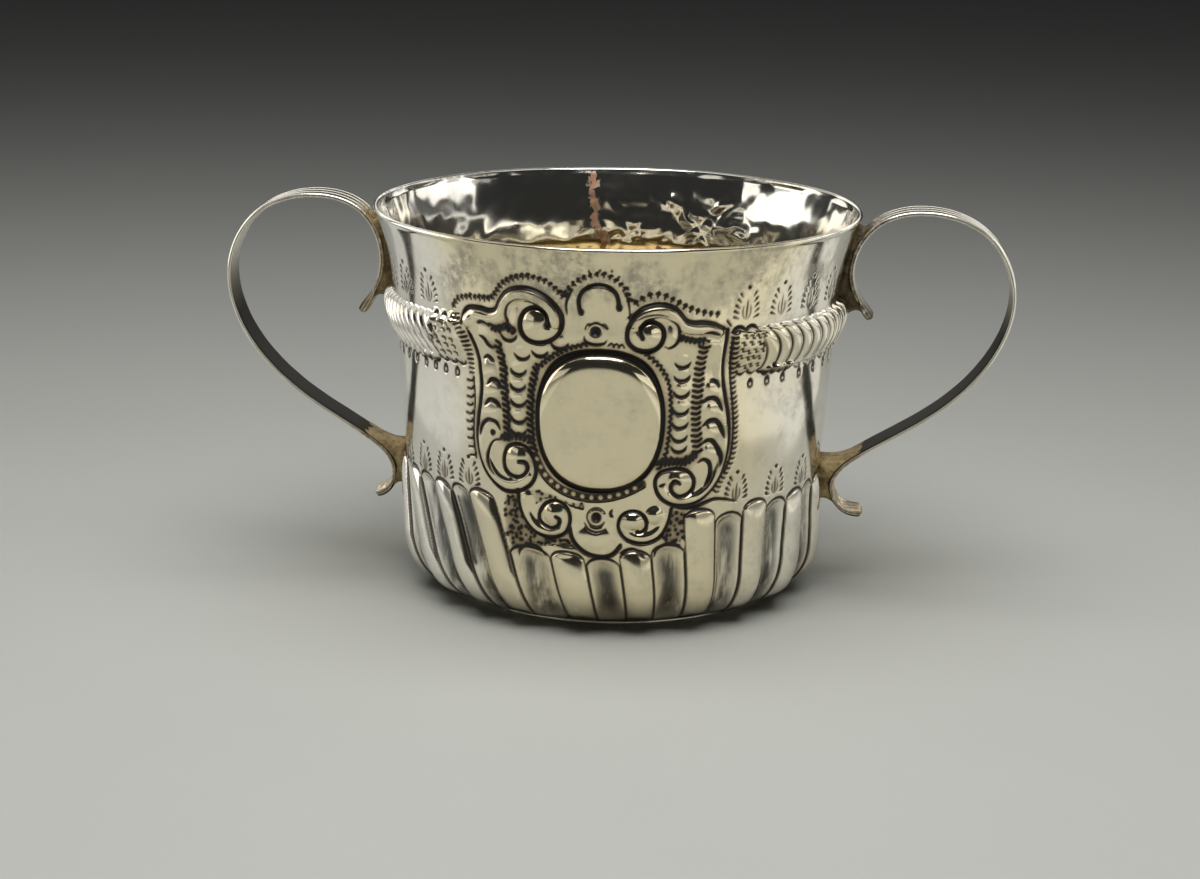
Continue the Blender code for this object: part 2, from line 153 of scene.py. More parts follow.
ovalBoss = {
    "centre": (0.35, 41.0), "half": (11.1, 12.4), "meanHalf": 11.6,
    "flatSpan": (28.6, 53.4), "topSpan": (46, 53), "swell": 1.1, "square": 2.35, "shoulder": 9.0,
    "bevel": 0.45, "ring": 0.95, "ringDepth": 0.4,
}


def ramp(value, low, high):
    return np.clip((value - low) / (high - low), 0.0, 1.0)


def ease(value, low, high):
    share = ramp(value, low, high)
    return share * share * (3 - 2 * share)


# Height of a quarter circle at that share of its width
def quarterRound(share):
    return np.sqrt(np.clip(1 - (1 - share) ** 2, 0, 1))


# Radius of the rounded belly, from its low edge up to its full width
def bellyRadius(height, low):
    rise = quarterRound(ramp(height, low, cupBody["bellyHeight"]))
    return cupBody["base"] + (cupBody["belly"] - cupBody["base"]) * rise


def wallRadius(height):
    shape = cupBody
    turn, low, top = shape["bellyHeight"], shape["bandLow"], shape["bandTop"]
    belly = bellyRadius(height, shape["baseHeight"])
    rise = ease(height, turn, low) ** shape["waistEase"]
    waist = shape["belly"] + (shape["waist"] - shape["belly"]) * rise
    band = shape["waist"] + (shape["neck"] - shape["waist"]) * ease(height, low, top)
    flare = ramp(height, top, shape["height"]) ** shape["flare"]
    neck = shape["neck"] + (shape["rim"] - shape["neck"]) * flare
    lower = np.where(height < turn, belly, waist)
    return np.where(height < low, lower, np.where(height < top, band, neck))


# Smooth line through given points
def smoothLine(points, gap=0.25):
    knots = np.array(points, float)
    if len(knots) < 3:
        return knots
    padded = np.vstack([2 * knots[0] - knots[1], knots, 2 * knots[-1] - knots[-2]])
    line = []
    for step in range(1, len(padded) - 2):
        before, start, stop, after = padded[step - 1:step + 3]
        pieces = max(2, int(np.linalg.norm(stop - start) / gap))
        for share in np.arange(pieces) / pieces:
            bend = 2 * start + (stop - before) * share
            bend = bend + (2 * before - 5 * start + 4 * stop - after) * share ** 2
            line.append((bend + (3 * start - before - 3 * stop + after) * share ** 3) / 2)
    line.append(knots[-1])
    return np.array(line)


# Length along a line at each of its points
def wayAlong(line):
    return np.concatenate([[0.0], np.cumsum(np.linalg.norm(np.diff(line, axis=0), axis=1))])


def arcLine(centre, radii, start, stop):
    angles = np.radians(np.linspace(start, stop, 14))
    return np.stack([centre[0] + radii[0] * np.cos(angles), centre[1] + radii[1] * np.sin(angles)], 1)


# The outer face rolled flat: how far it swells, how deep it is cut, and how dark the cuts are
class ChasedSheet:
    def __init__(self, radius, height, pitch):
        self.radius = radius
        self.count = int(round(2 * math.pi * radius / pitch))
        self.step = 2 * math.pi * radius / self.count
        self.pitch = pitch
        self.u = (np.arange(self.count) - self.count // 2) * self.step
        self.z = np.arange(int(round(height / pitch)) + 1) * pitch
        self.swell = np.zeros((len(self.z), self.count))
        self.cuts = np.zeros_like(self.swell)
        self.dark = np.zeros_like(self.swell)
        self.tarnish = np.zeros_like(self.swell)

    # Cells round some points, which may run past the seam at the back
    def patch(self, points, reach):
        low = points.min(0) - reach
        high = points.max(0) + reach
        columns = np.arange(math.floor(low[0] / self.step), math.ceil(high[0] / self.step) + 1)
        first = max(0, math.floor(low[1] / self.pitch))
        rows = np.arange(first, min(len(self.z) - 1, math.ceil(high[1] / self.pitch)) + 1)
        cells = np.ix_(rows, (columns + self.count // 2) % self.count)
        return cells, columns[None, :] * self.step, rows[:, None] * self.pitch

    # Distance to a line, and the share of the way along it
    def nearest(self, line, reach):
        cells, u, z = self.patch(line, reach)
        best = np.full((z.shape[0], u.shape[1]), 1e9)
        along = np.zeros_like(best)
        lengths = np.linalg.norm(np.diff(line, axis=0), axis=1)
        total = max(lengths.sum(), 1e-9)
        done = 0.0
        for start, stop, length in zip(line[:-1], line[1:], lengths):
            way = (stop - start) / max(length, 1e-9)
            place = np.clip((u - start[0]) * way[0] + (z - start[1]) * way[1], 0, length)
            far = np.hypot(u - start[0] - way[0] * place, z - start[1] - way[1] * place)
            nearer = far < best
            best = np.where(nearer, far, best)
            along = np.where(nearer, (done + place) / total, along)
            done += length
        return cells, best, along

    def carve(self, cells, across, depth, dark):
        share = np.clip(1 - across ** 2, 0, 1)
        self.cuts[cells] = np.minimum(self.cuts[cells], -depth * share ** 1.5)
        self.dark[cells] = np.maximum(self.dark[cells], dark * np.clip(1.6 * share, 0, 1))

    # Chased line; taper thins both ends, or one
    def cut(self, points, width, depth, dark=1.0, taper="", smooth=True):
        line = smoothLine(points) if smooth else np.array(points, float)
        cells, far, along = self.nearest(line, width)
        half = np.full_like(far, width / 2)
        if taper == "both":
            half *= np.clip(np.sqrt(np.clip(4 * along * (1 - along), 0, 1)), 0.22, 1)
        if taper == "start":
            half *= 0.25 + 0.75 * along
        if taper == "end":
            half *= 1 - 0.75 * along
        self.carve(cells, far / half, depth * np.clip(half / (width / 2), 0.4, 1), dark)

    # Lines thinned at both ends: points, width, depth and dark of each
    def cutAll(self, lines):
        for line in lines:
            self.cut(*line, "both")

    # Rounded roll standing up along a line
    def roll(self, points, width, rise, taper=False):
        cells, far, along = self.nearest(smoothLine(points), width)
        half = width / 2
        ends = np.clip(4 * along * (1 - along), 0, 1) ** 0.4 if taper else 1.0
        self.swell[cells] += rise * ends * np.clip(1 - (far / half) ** 2, 0, 1) ** 0.75

    # Oval hump; a power below 1 makes it fuller
    def hump(self, centre, radii, rise, turn=0.0, power=1.0):
        centre = np.array(centre, float)
        cells, u, z = self.patch(centre[None, :], max(radii) + 0.3)
        lean = math.radians(turn)
        x = (u - centre[0]) * math.cos(lean) + (z - centre[1]) * math.sin(lean)
        y = (z - centre[1]) * math.cos(lean) - (u - centre[0]) * math.sin(lean)
        self.swell[cells] += rise * np.clip(1 - (x / radii[0]) ** 2 - (y / radii[1]) ** 2, 0, 1) ** power

    def pit(self, centre, radius, depth, dark=1.0):
        centre = np.array(centre, float)
        cells, u, z = self.patch(centre[None, :], radius)
        self.carve(cells, np.hypot(u - centre[0], z - centre[1]) / radius, depth, dark)

    # Punched marks along a line, each drawn in its own frame: x runs with the line, y to its left
    def punchRow(self, points, gap, mark, size, width, depth, stain):
        line = smoothLine(points, 0.1)
        cells, far = self.nearest(smoothLine(points, 0.5), 1.6 * size)[:2]
        halo = stain * np.clip(1.4 - (far / (1.25 * size)) ** 2, 0, 1)
        self.dark[cells] = np.maximum(self.dark[cells], halo)
        lengths = wayAlong(line)

        def at(place):
            return np.array([np.interp(place, lengths, line[:, side]) for side in (0, 1)])

        for place in np.linspace(0, lengths[-1], max(2, int(round(lengths[-1] / gap)) + 1)):
            way = at(place + 0.3) - at(place - 0.3)
            way /= max(np.linalg.norm(way), 1e-9)
            left = np.array([-way[1], way[0]])
            reach = size * (0.85 + 0.3 * handShake.random())
            for stroke in mark:
                drawn = [at(place) + reach * (x * way + y * left) for x, y in stroke]
                self.cut(drawn, width, depth, smooth=len(drawn) > 2)

    def read(self, field, u, z):
        column = (u / self.step + self.count // 2) % self.count
        row = np.clip(z / self.pitch, 0, len(self.z) - 1.001)
        left, low = np.floor(column).astype(int), np.floor(row).astype(int)
        across, up = column - left, row - low
        right = (left + 1) % self.count
        left = left % self.count
        lower = field[low, left] * (1 - across) + field[low, right] * across
        upper = field[low + 1, left] * (1 - across) + field[low + 1, right] * across
        return lower * (1 - up) + upper * up


# Soft copy of a field, smoothed by a bell of that spread in millimetres
def soften(sheet, field, spread):
    rows, columns = field.shape
    pad = int(4 * spread / sheet.pitch)
    tall = np.pad(field, ((pad, pad), (0, 0)), mode="edge")
    turnU = np.fft.rfftfreq(columns, sheet.step)
    turnZ = np.fft.fftfreq(tall.shape[0], sheet.pitch)
    keep = np.exp(-2 * (math.pi * spread) ** 2 * (turnU[None, :] ** 2 + turnZ[:, None] ** 2))
    return np.fft.irfft2(np.fft.rfft2(tall) * keep, s=tall.shape)[pad:pad + rows]


handShake = np.random.default_rng(7)
chased = ChasedSheet(cupBody["unrolled"], cupBody["height"], cupBody["pitch"])


# Turn round the band counted in lobes, which crowd together on the left
def countLobes(turn):
    return ropeBand["lobes"] / (2 * math.pi) * (turn + ropeBand["crowding"] * np.cos(turn))


# Turn by which a lobe has leaned at that share of the way down; on the right it bows and swings back
def lobeLean(turn, drop):
    shape = ropeBand
    right = ease(turn, *shape["rightFrom"]) * ease(turn, *shape["rightTo"])
    swing = drop ** (shape["bend"] - shape["bow"] * right) * (1 - shape["swingBack"] * right * drop ** 2)
    return math.radians(shape["lean"]) * (1 + shape["rightLean"] * right) * swing


# Twisted lobes of the band, flattened where the cartouche stops it
def chaseRope(sheet):
    shape = ropeBand
    u, z = np.meshgrid(sheet.u, sheet.z)
    turn = u / sheet.radius
    drop = ramp(shape["height"] + shape["half"] - z, 0, 2 * shape["half"])
    level = (turn - lobeLean(turn, drop) + math.pi) % (2 * math.pi) - math.pi
    across = 2 * (countLobes(level) % 1) - 1
    crest = np.sqrt(1 - 0.96 * across ** 2)
    reach = shape["half"] * (1 - shape["notch"] * (1 - crest))
    section = np.sqrt(np.clip(1 - ((z - shape["height"]) / reach) ** 2, 0, 1))
    left, right, runout = (math.radians(shape[key]) for key in ("leftStop", "rightStop", "runout"))
    beyond = np.maximum(left - turn, turn - right) / runout
    stand = (shape["stopShare"] + (1 - shape["stopShare"]) * ease(beyond, 0, 1)) * ease(beyond, 0, 0.1)
    lobed = ease(beyond, 0.45, 1.0)
    sheet.swell += shape["swell"] * section * stand * (1 - shape["groove"] * lobed * (1 - crest))
    groove = ease(np.abs(across), 0.70, 0.98) * np.clip(section * 2.2, 0, 1) * lobed
    sheet.dark = np.maximum(sheet.dark, groove)


# Lobes and hollows round the foot, with arched tops and chased lines; the hollows keep their tarnish
def chaseFlutes(sheet):
    shape = fluteRing
    u, z = np.meshgrid(sheet.u, sheet.z)
    around = 2 * math.pi * sheet.radius
    edges = shape["edges"]
    behind = np.linspace(edges[-1], edges[0] + around, shape["count"] - len(edges) + 2)
    allEdges = np.concatenate([edges, behind[1:-1]])
    order = np.concatenate([allEdges - around, allEdges, allEdges + around])
    number = np.arange(len(order)) - shape["count"]
    turn = np.degrees(u / sheet.radius)
    fan = shape["fan"] * np.clip(turn / shape["fanTurn"], -1, 1)
    fan = fan * (1 - ease(np.abs(turn), shape["fanTurn"], shape["fanEnd"]))
    count = np.interp(u - (shape["slant"] - fan) * (shape["edgeHeight"] - z), order, number)
    whole = np.floor(count)
    across = 2 * (count - whole) - 1
    middle = (np.interp(whole + 0.5, number, order) + around / 2) % around - around / 2
    arch = np.clip(1 - across ** 2, 0, 1)
    below = np.interp(middle, *zip(*shape["tops"])) - shape["arch"] * (1 - np.sqrt(arch)) - z
    lobes = whole.astype(int) % 2 == 0
    ends = np.where(lobes, quarterRound(ramp(below, 0, shape["dome"])), ease(below, 0, 1.8))
    ends = ends * ease(z, cupBody["baseHeight"], cupBody["baseHeight"] + 3.0)
    sheet.swell += np.where(lobes, shape["lobe"] * arch ** 0.75, -shape["hollow"] * arch) * ends
    hollows = np.where(lobes, 0.0, np.clip(1.5 * arch - 0.45, 0, 1))
    sheet.tarnish = hollows * ease(below, 0.3, 3.5) * ease(z, 2.0, 7.0)
    width = np.interp(whole + 1, number, order) - np.interp(whole, number, order)
    beside = (1 - np.abs(across)) * width / 2
    inside = ease(below, -0.1, 0.5)
    half = shape["line"] / 2 * (0.7 + 0.5 * inside)
    far = 9.0  # well outside any line
    sheet.carve(np.s_[:, :], np.where(inside > 0, beside / half, far), 0.22, 0.9)
    topLine = np.abs(below - 0.05) / shape["archLine"]
    sheet.carve(np.s_[:, :], np.where(np.abs(across) < 0.97, topLine, far), 0.26, 0.95)


# Pointed leaf outlined in dashes with a bud on top, punched round the neck and over the flutes
def chasePalmette(sheet, u, low, tall, stroke, dark):
    wide = 5.7
    sheet.cut([(u, low + tall * 0.88), (u, low + tall)], 1.5 * stroke, 0.24, dark, "both", False)
    for side in (-1, 1):
        for share in (0.06, 0.22, 0.38, 0.54, 0.7):
            reach = wide / 2 * min(1.0, 0.72 + 0.9 * share) * (1 - share) ** 0.5
            foot = np.array([u + side * reach * 0.64, low + tall * share * 0.92])
            tip = foot + np.array([side * (1.2 - 0.9 * share), 0.4 + 0.7 * share])
            sheet.cut([foot, tip], stroke, 0.22, dark * (0.75 + 0.25 * handShake.random()), "start", False)
        vein = ((0.25, 0.1), (0.8, tall * 0.2), (0.7, tall * 0.46))
        vein = [(u + side * across, low + up) for across, up in vein]
        sheet.cut(vein, stroke * 0.75, 0.12, dark * 0.6, "both")
    sheet.cut([(u, low + 0.1), (u, low + tall * 0.62)], stroke * 0.8, 0.14, dark * 0.7, "both", False)


# Small oval cup with a dark brim
def chaseFlower(sheet, u, z, dark):
    for start in (75, -105):
        sheet.cut(arcLine((u, z), (0.52, 0.75), start, start + 210), 0.44, 0.24, dark)
    sheet.pit((u, z + 0.62), 0.52, 0.24, dark)


# Punch marks: strokes in the frame of a row
hook = [[(-0.34, 0.05), (0.02, 0.62), (0.3, 0.42)], [(0.02, 0.55), (0.05, -0.3)]]
spade = [[(-0.36, 0.2), (0.0, 0.72), (0.36, 0.2)], [(0.0, 0.6), (0.0, -0.4)]]
curl = [[(-0.5, 0.1), (-0.1, 0.55), (0.25, 0.2), (0.05, -0.2)]]
wave = [[(-0.5, -0.25), (0.0, 0.35), (0.5, -0.25)]]
rung = [[(-0.12, 0.75), (0.22, 0.15), (0.02, -0.75)]]
dash = [[(-0.1, -0.9), (0.1, 0.7)]]
crook = [[(-0.3, 0.6), (0.25, 0.3), (0.2, -0.8)]]


# Round bead standing in a dark ring
def chaseBead(sheet, u, z, radius):
    sheet.pit((u, z), radius, 0.5)
    cells, across, up = sheet.patch(np.array([[u, z]]), radius)
    far = np.hypot(across - u, up - z) / (0.62 * radius)
    dome = 0.1 * np.sqrt(np.clip(1 - far ** 2, 0, 1)) - 0.3
    sheet.dark[cells] = np.where(far < 1, 0.3 * far ** 2, sheet.dark[cells])
    sheet.cuts[cells] = np.where(far < 1, dome, sheet.cuts[cells])


# Scale of a row: a crescent that opens upwards
def chaseScale(sheet, u, z, wide, dark=1.0):
    sheet.cut(arcLine((u, z + 0.75), (wide / 2, 1.35), 188, 352), 0.78, 0.3, dark, "both")
    sheet.hump((u, z + 1.0), (wide * 0.42, 1.1), 0.16)


# Matted ground: close small punches inside an outline
def chaseMatting(sheet, outline, gap, dark=1.0):
    sink = 0.15
    corners = np.array(outline, float)
    low, high = corners.min(0), corners.max(0)
    cells, u, z = sheet.patch(corners, 0.2)
    u, z = np.broadcast_arrays(u, z)
    inside = np.zeros(u.shape, bool)
    for start, stop in zip(corners, np.roll(corners, -1, axis=0)):
        crosses = (start[1] > z) != (stop[1] > z)
        rise = stop[1] - start[1] if abs(stop[1] - start[1]) > 1e-9 else 1e-9
        inside ^= crosses & (u < (stop[0] - start[0]) * (z - start[1]) / rise + start[0])
    sheet.cuts[cells] = np.where(inside, np.minimum(sheet.cuts[cells], -sink), sheet.cuts[cells])
    sheet.dark[cells] = np.where(inside, np.maximum(sheet.dark[cells], 0.3 * dark), sheet.dark[cells])
    for z0 in np.arange(low[1], high[1], gap):
        for u0 in np.arange(low[0], high[0], gap):
            spot = np.array([u0, z0]) + gap * 0.45 * handShake.standard_normal(2)
            row = int(round(spot[1] / sheet.pitch)) - int(cells[0][0, 0])
            column = int(round(spot[0] / sheet.step)) - int(round(u[0, 0] / sheet.step))
            if 0 <= row < inside.shape[0] and 0 <= column < inside.shape[1] and inside[row, column]:
                sheet.pit(spot, gap * (0.3 + 0.2 * handShake.random()), 0.2 + sink, dark)


# Cartouche: u runs round the cup from the middle of the front, z up from the table

# Oval face: straight from top to bottom, bevelled above, with a dark ring round it
def chaseOval(sheet):
    shape = ovalBoss
    (centre, middle), (wide, tall) = shape["centre"], shape["half"]
    u, z = np.meshgrid(sheet.u, sheet.z)
    away = np.abs((u - centre) / wide) ** shape["square"] + np.abs((z - middle) / tall) ** shape["square"]
    away = away ** (1 / shape["square"])
    ends = np.array(shape["flatSpan"])
    flat = np.interp(z, ends, wallRadius(ends))
    sheet.swell += (flat - wallRadius(z)) * ease(away, 1.04, 0.98)
    sheet.swell += shape["swell"] * np.sqrt(np.clip(1 - away ** shape["shoulder"], 0, 1))
    upward = ease((z - middle) / tall / np.maximum(away, 0.05), 0.15, 0.8)
    sheet.swell -= shape["bevel"] * upward * ramp(away, 0.78, 1.0) ** 2 * ease(away, 1.06, 1.0)
    top = ease(z, *shape["topSpan"])
    beyond = (away - 1) * shape["meanHalf"] - 0.35 - 0.15 * top
    sheet.carve(np.s_[:, :], beyond / (shape["ring"] * (0.5 + 0.28 * top)), shape["ringDepth"], 1.0)


# Upper scrolls, each one line from its corner round into its eye, and the rolls above them
def chaseUpperScrolls(sheet):
    sheet.roll([(-24.5, 57.6), (-23, 58.6), (-20, 58.5), (-17.8, 59.4), (-16.8, 61.6), (-15, 63.3),
                (-12.4, 63.7), (-9.8, 63), (-8, 61.2), (-7.5, 59.2)], 2.9, 0.9)
    sheet.roll([(6, 59.6), (7.6, 61), (9.8, 61.6), (11.8, 61.4), (13.2, 60.4), (14.4, 59), (16.4, 58.3),
                (19, 58.1), (21, 57.4)], 2.6, 0.9)
    left = [(-25.9, 57), (-25.7, 58.7), (-24.4, 59.9), (-22, 60.1), (-20, 59.9), (-18.6, 60.4), (-17.7, 62),
            (-16.3, 63.8), (-14.5, 64.7), (-12.5, 64.9), (-10.4, 64.4), (-8.4, 63.2), (-6.9, 61.4),
            (-6.3, 59.6), (-6.5, 57.8), (-7.4, 56.4), (-9, 55.4), (-11, 55), (-12.8, 55.6), (-13.8, 57),
            (-13.9, 58.8), (-13.2, 60.4), (-11.8, 61.3), (-10.2, 61.2), (-9.1, 60.3), (-8.8, 59)]
    right = [(22.2, 57.8), (20.2, 58.8), (18.4, 59.2), (16.4, 59.3), (15, 59.8), (14, 61), (13, 62),
             (11.3, 62.7), (9.4, 62.7), (7.5, 62.1), (6.2, 61), (5.4, 59.5), (4.9, 57.8), (5, 56.2),
             (5.9, 55), (7.4, 54.3), (9, 54.3), (10.4, 55.1), (11.2, 56.6), (11.1, 58.2), (10, 59.3),
             (8.6, 59.6), (7.5, 59), (7.1, 57.9), (7.5, 56.8)]
    for scroll in (left, right):
        sheet.cut(scroll, 0.95, 0.42)
    sheet.cut([(-16.2, 57.3), (-16.5, 59.4), (-16.1, 61.2), (-14.9, 62.4), (-13.1, 62.9), (-12, 62.8)],
              0.6, 0.3, 1.0, "end")
    sheet.cut([(11.9, 60), (13.2, 59.3), (13.9, 57.9), (13.9, 56.4), (13.1, 55.2), (12, 54.8), (11.3, 55.3)],
              0.6, 0.3, 1.0, "both")
    sheet.cut([(6.3, 60), (8, 60.8), (10, 61), (12, 60.6)], 0.5, 0.25, 0.8, "both")
    sheet.pit((-8.9, 58.4), 0.85, 0.4, 0.8)
    for centre, radii, rise in [((-11.2, 58.3), (2.6, 2.9), 0.85), ((-14.9, 59.2), (1.3, 2.4), 0.3),
                                ((8.4, 57.2), (2.6, 2.7), 0.85), ((12.6, 57.2), (1.1, 2.0), 0.3)]:
        sheet.hump(centre, radii, rise)


# Arch between the scrolls, with its ends turned in, and the button below it
def chaseArch(sheet):
    sheet.roll([(-2.5, 62.4), (-2.6, 63.6), (-1.9, 64.8), (-0.6, 65.5), (0.9, 65.4), (2.1, 64.6),
                (2.6, 63.4)], 1.6, 0.25)
    sheet.cut([(-3.3, 61.6), (-3.4, 63.4), (-2.7, 65), (-1.4, 66), (0.2, 66.3), (1.7, 65.9), (2.8, 64.8),
               (3.3, 63.3), (3.4, 62.2)], 0.85, 0.4)
    sheet.pit((-3.0, 61.2), 0.7, 0.3, 0.8)
    sheet.pit((3.45, 62.2), 0.75, 0.3, 0.8)
    sheet.hump((-0.5, 57.7), (1.9, 1.9), 0.25)
    sheet.pit((-0.5, 57.75), 1.15, 0.7)
    sheet.cutAll([
        ([(-5.4, 60.4), (-5.6, 62.4), (-5, 64.2), (-4.3, 65.4)], 0.6, 0.28, 0.9),
        ([(5.3, 60.6), (5.1, 62.4), (4.7, 64.1), (4, 65.2)], 0.5, 0.25, 0.9),
        ([(-2.3, 58.2), (-1.9, 59), (-1.1, 59.3)], 0.4, 0.2, 0.9),
        ([(0.4, 59.3), (1.2, 59), (1.7, 58.2)], 0.4, 0.2, 0.9),
        ([(-2.5, 57), (-2.2, 55.9), (-0.6, 55.4), (1, 55.7), (1.5, 56.4)], 0.6, 0.28, 1.0),
    ])


# Side borders: an outer line down to its scroll, with lobes inside it
def chaseBorders(sheet):
    left = [(-24.8, 55.4), (-23.6, 52.5), (-22.9, 49), (-22.6, 45.5), (-23, 42.5), (-23.6, 39.5),
            (-23.9, 36), (-23.6, 33), (-22.7, 30.5), (-21, 28.4), (-18.8, 26.9), (-16.8, 26.6),
            (-14.4, 27.2), (-12.5, 28.6), (-11.6, 30.5), (-11.7, 32.5), (-12.4, 34.3), (-13.8, 35.5),
            (-15.6, 35.7), (-17.2, 34.9), (-18, 33.2), (-18, 31.2), (-17, 29.9), (-15.4, 29.5),
            (-13.9, 30.1), (-13.2, 31.4), (-13.6, 32.6), (-14.7, 32.7)]
    right = [(23, 57.6), (22.9, 55.5), (22.8, 52), (23, 48.5), (23.7, 45), (24.5, 41.5), (24.9, 38),
             (24.8, 35), (24.2, 32.2), (23.3, 29.9), (21.8, 27.8), (19.6, 26.1), (17, 25.3), (14.4, 25.5),
             (12.4, 26.5), (11.1, 28.2), (10.8, 30.2), (11.6, 31.6), (13.2, 32.1), (15.2, 32.2), (17, 31.6),
             (18.2, 30.2), (18.2, 28.7), (17.1, 27.4), (15.5, 27), (14.1, 27.8), (13.7, 29.1), (14.3, 30.1),
             (15.2, 29.7)]
    for border in (left, right):
        sheet.cut(border, 0.85, 0.4)
    sheet.cutAll([
        ([(-20, 29.3), (-21.2, 31), (-21.6, 33), (-21, 34.8), (-19.8, 35.9), (-18.2, 36.2)], 0.6, 0.3, 1.0),
        ([(-23, 36.4), (-22.6, 38.4), (-21.2, 39.5), (-19.6, 39.3), (-18.7, 37.9)], 0.95, 0.36, 1.0),
        ([(-22.1, 42), (-20.9, 43.2), (-19.6, 43.2), (-18.4, 42)], 1.05, 0.38, 1.0),
        ([(-21.4, 46), (-20.3, 47.1), (-19.2, 46.9), (-18.3, 45.8)], 1.0, 0.38, 1.0),
        ([(-22.1, 50.7), (-21, 51.3), (-19.7, 50.4)], 0.85, 0.32, 1.0),
        ([(-22.6, 57.2), (-21.4, 57.8), (-20.2, 57.6)], 0.8, 0.3, 1.0),
        ([(-22.6, 55), (-21.5, 54.6), (-20.6, 53.4), (-19.4, 53)], 0.9, 0.3, 1.0),
        ([(20.3, 48.4), (21.4, 48.2), (22.3, 46.8)], 0.85, 0.32, 1.0),
        ([(18.9, 44.2), (20.4, 45.1), (21.9, 44.7), (23.3, 42.4)], 1.05, 0.38, 1.0),
        ([(19.3, 39.9), (21, 41), (22.7, 40.1), (23.8, 37.4)], 1.1, 0.38, 1.0),
        ([(19.3, 36.6), (20.9, 37.3), (22.4, 36), (23.3, 34), (23.1, 32.2)], 1.1, 0.38, 1.0),
        ([(18.7, 33.1), (20, 33.7), (21.2, 32.8), (21.5, 31), (21, 29.5), (20.1, 28.2)], 1.0, 0.38, 1.0),
        ([(18.2, 57.3), (19.6, 57.4), (21.4, 56.8)], 0.7, 0.3, 1.0),
    ])
    sheet.pit((-20.4, 37.2), 0.75, 0.35, 0.9)
    for place in ((-20.6, 40.9), (-20.2, 44.8), (-20.9, 48.8)):
        sheet.hump(place, (1.9, 2.0), 0.36)
    for place, turn in (((21, 46.6), 0), ((21.3, 42.6), 10), ((21.4, 38.6), 15), ((21.2, 34.8), 20)):
        sheet.hump(place, (1.6, 1.9), 0.4, turn)
    sheet.hump((-24.3, 57), (1.7, 2.1), 0.5, 20)
    sheet.hump((20.2, 54.9), (1.6, 1.5), 0.45)
    for place, radii in (((-15.4, 32.6), (2.5, 2.9)), ((15.4, 29.6), (2.6, 2.6))):
        sheet.hump(place, radii, 0.75)
    sheet.roll([(-23.1, 38), (-22.8, 34), (-21.8, 31.2), (-20, 29), (-17.4, 28), (-14.6, 28.5),
                (-12.7, 30.5)], 2.2, 0.6, True)
    sheet.roll([(23.9, 40), (24, 35), (23, 31), (21.2, 28.2), (18.6, 26.5), (15.6, 26.3), (13, 27.2),
                (11.9, 29.4)], 2.0, 0.6, True)
    sheet.roll([(21.9, 56.5), (21.8, 52), (22.2, 47)], 1.7, 0.5, True)


# Scales in two columns, with loose ones over the oval
def chaseScales(sheet):
    for place in ((-16.2, 55.4), (-13.9, 52.2), (-14.8, 49.2), (-14.9, 46.4), (-14.8, 43.5), (-14.8, 40.4),
                  (-14.9, 38), (-10.5, 53.1), (-6.8, 54.8)):
        chaseScale(sheet, *place, 3.1)
    for height in (51.6, 49.1, 46.2, 43.0, 40.4, 38.0, 36.0, 34.2):
        chaseScale(sheet, 15.0, height, 3.0, 0.95)


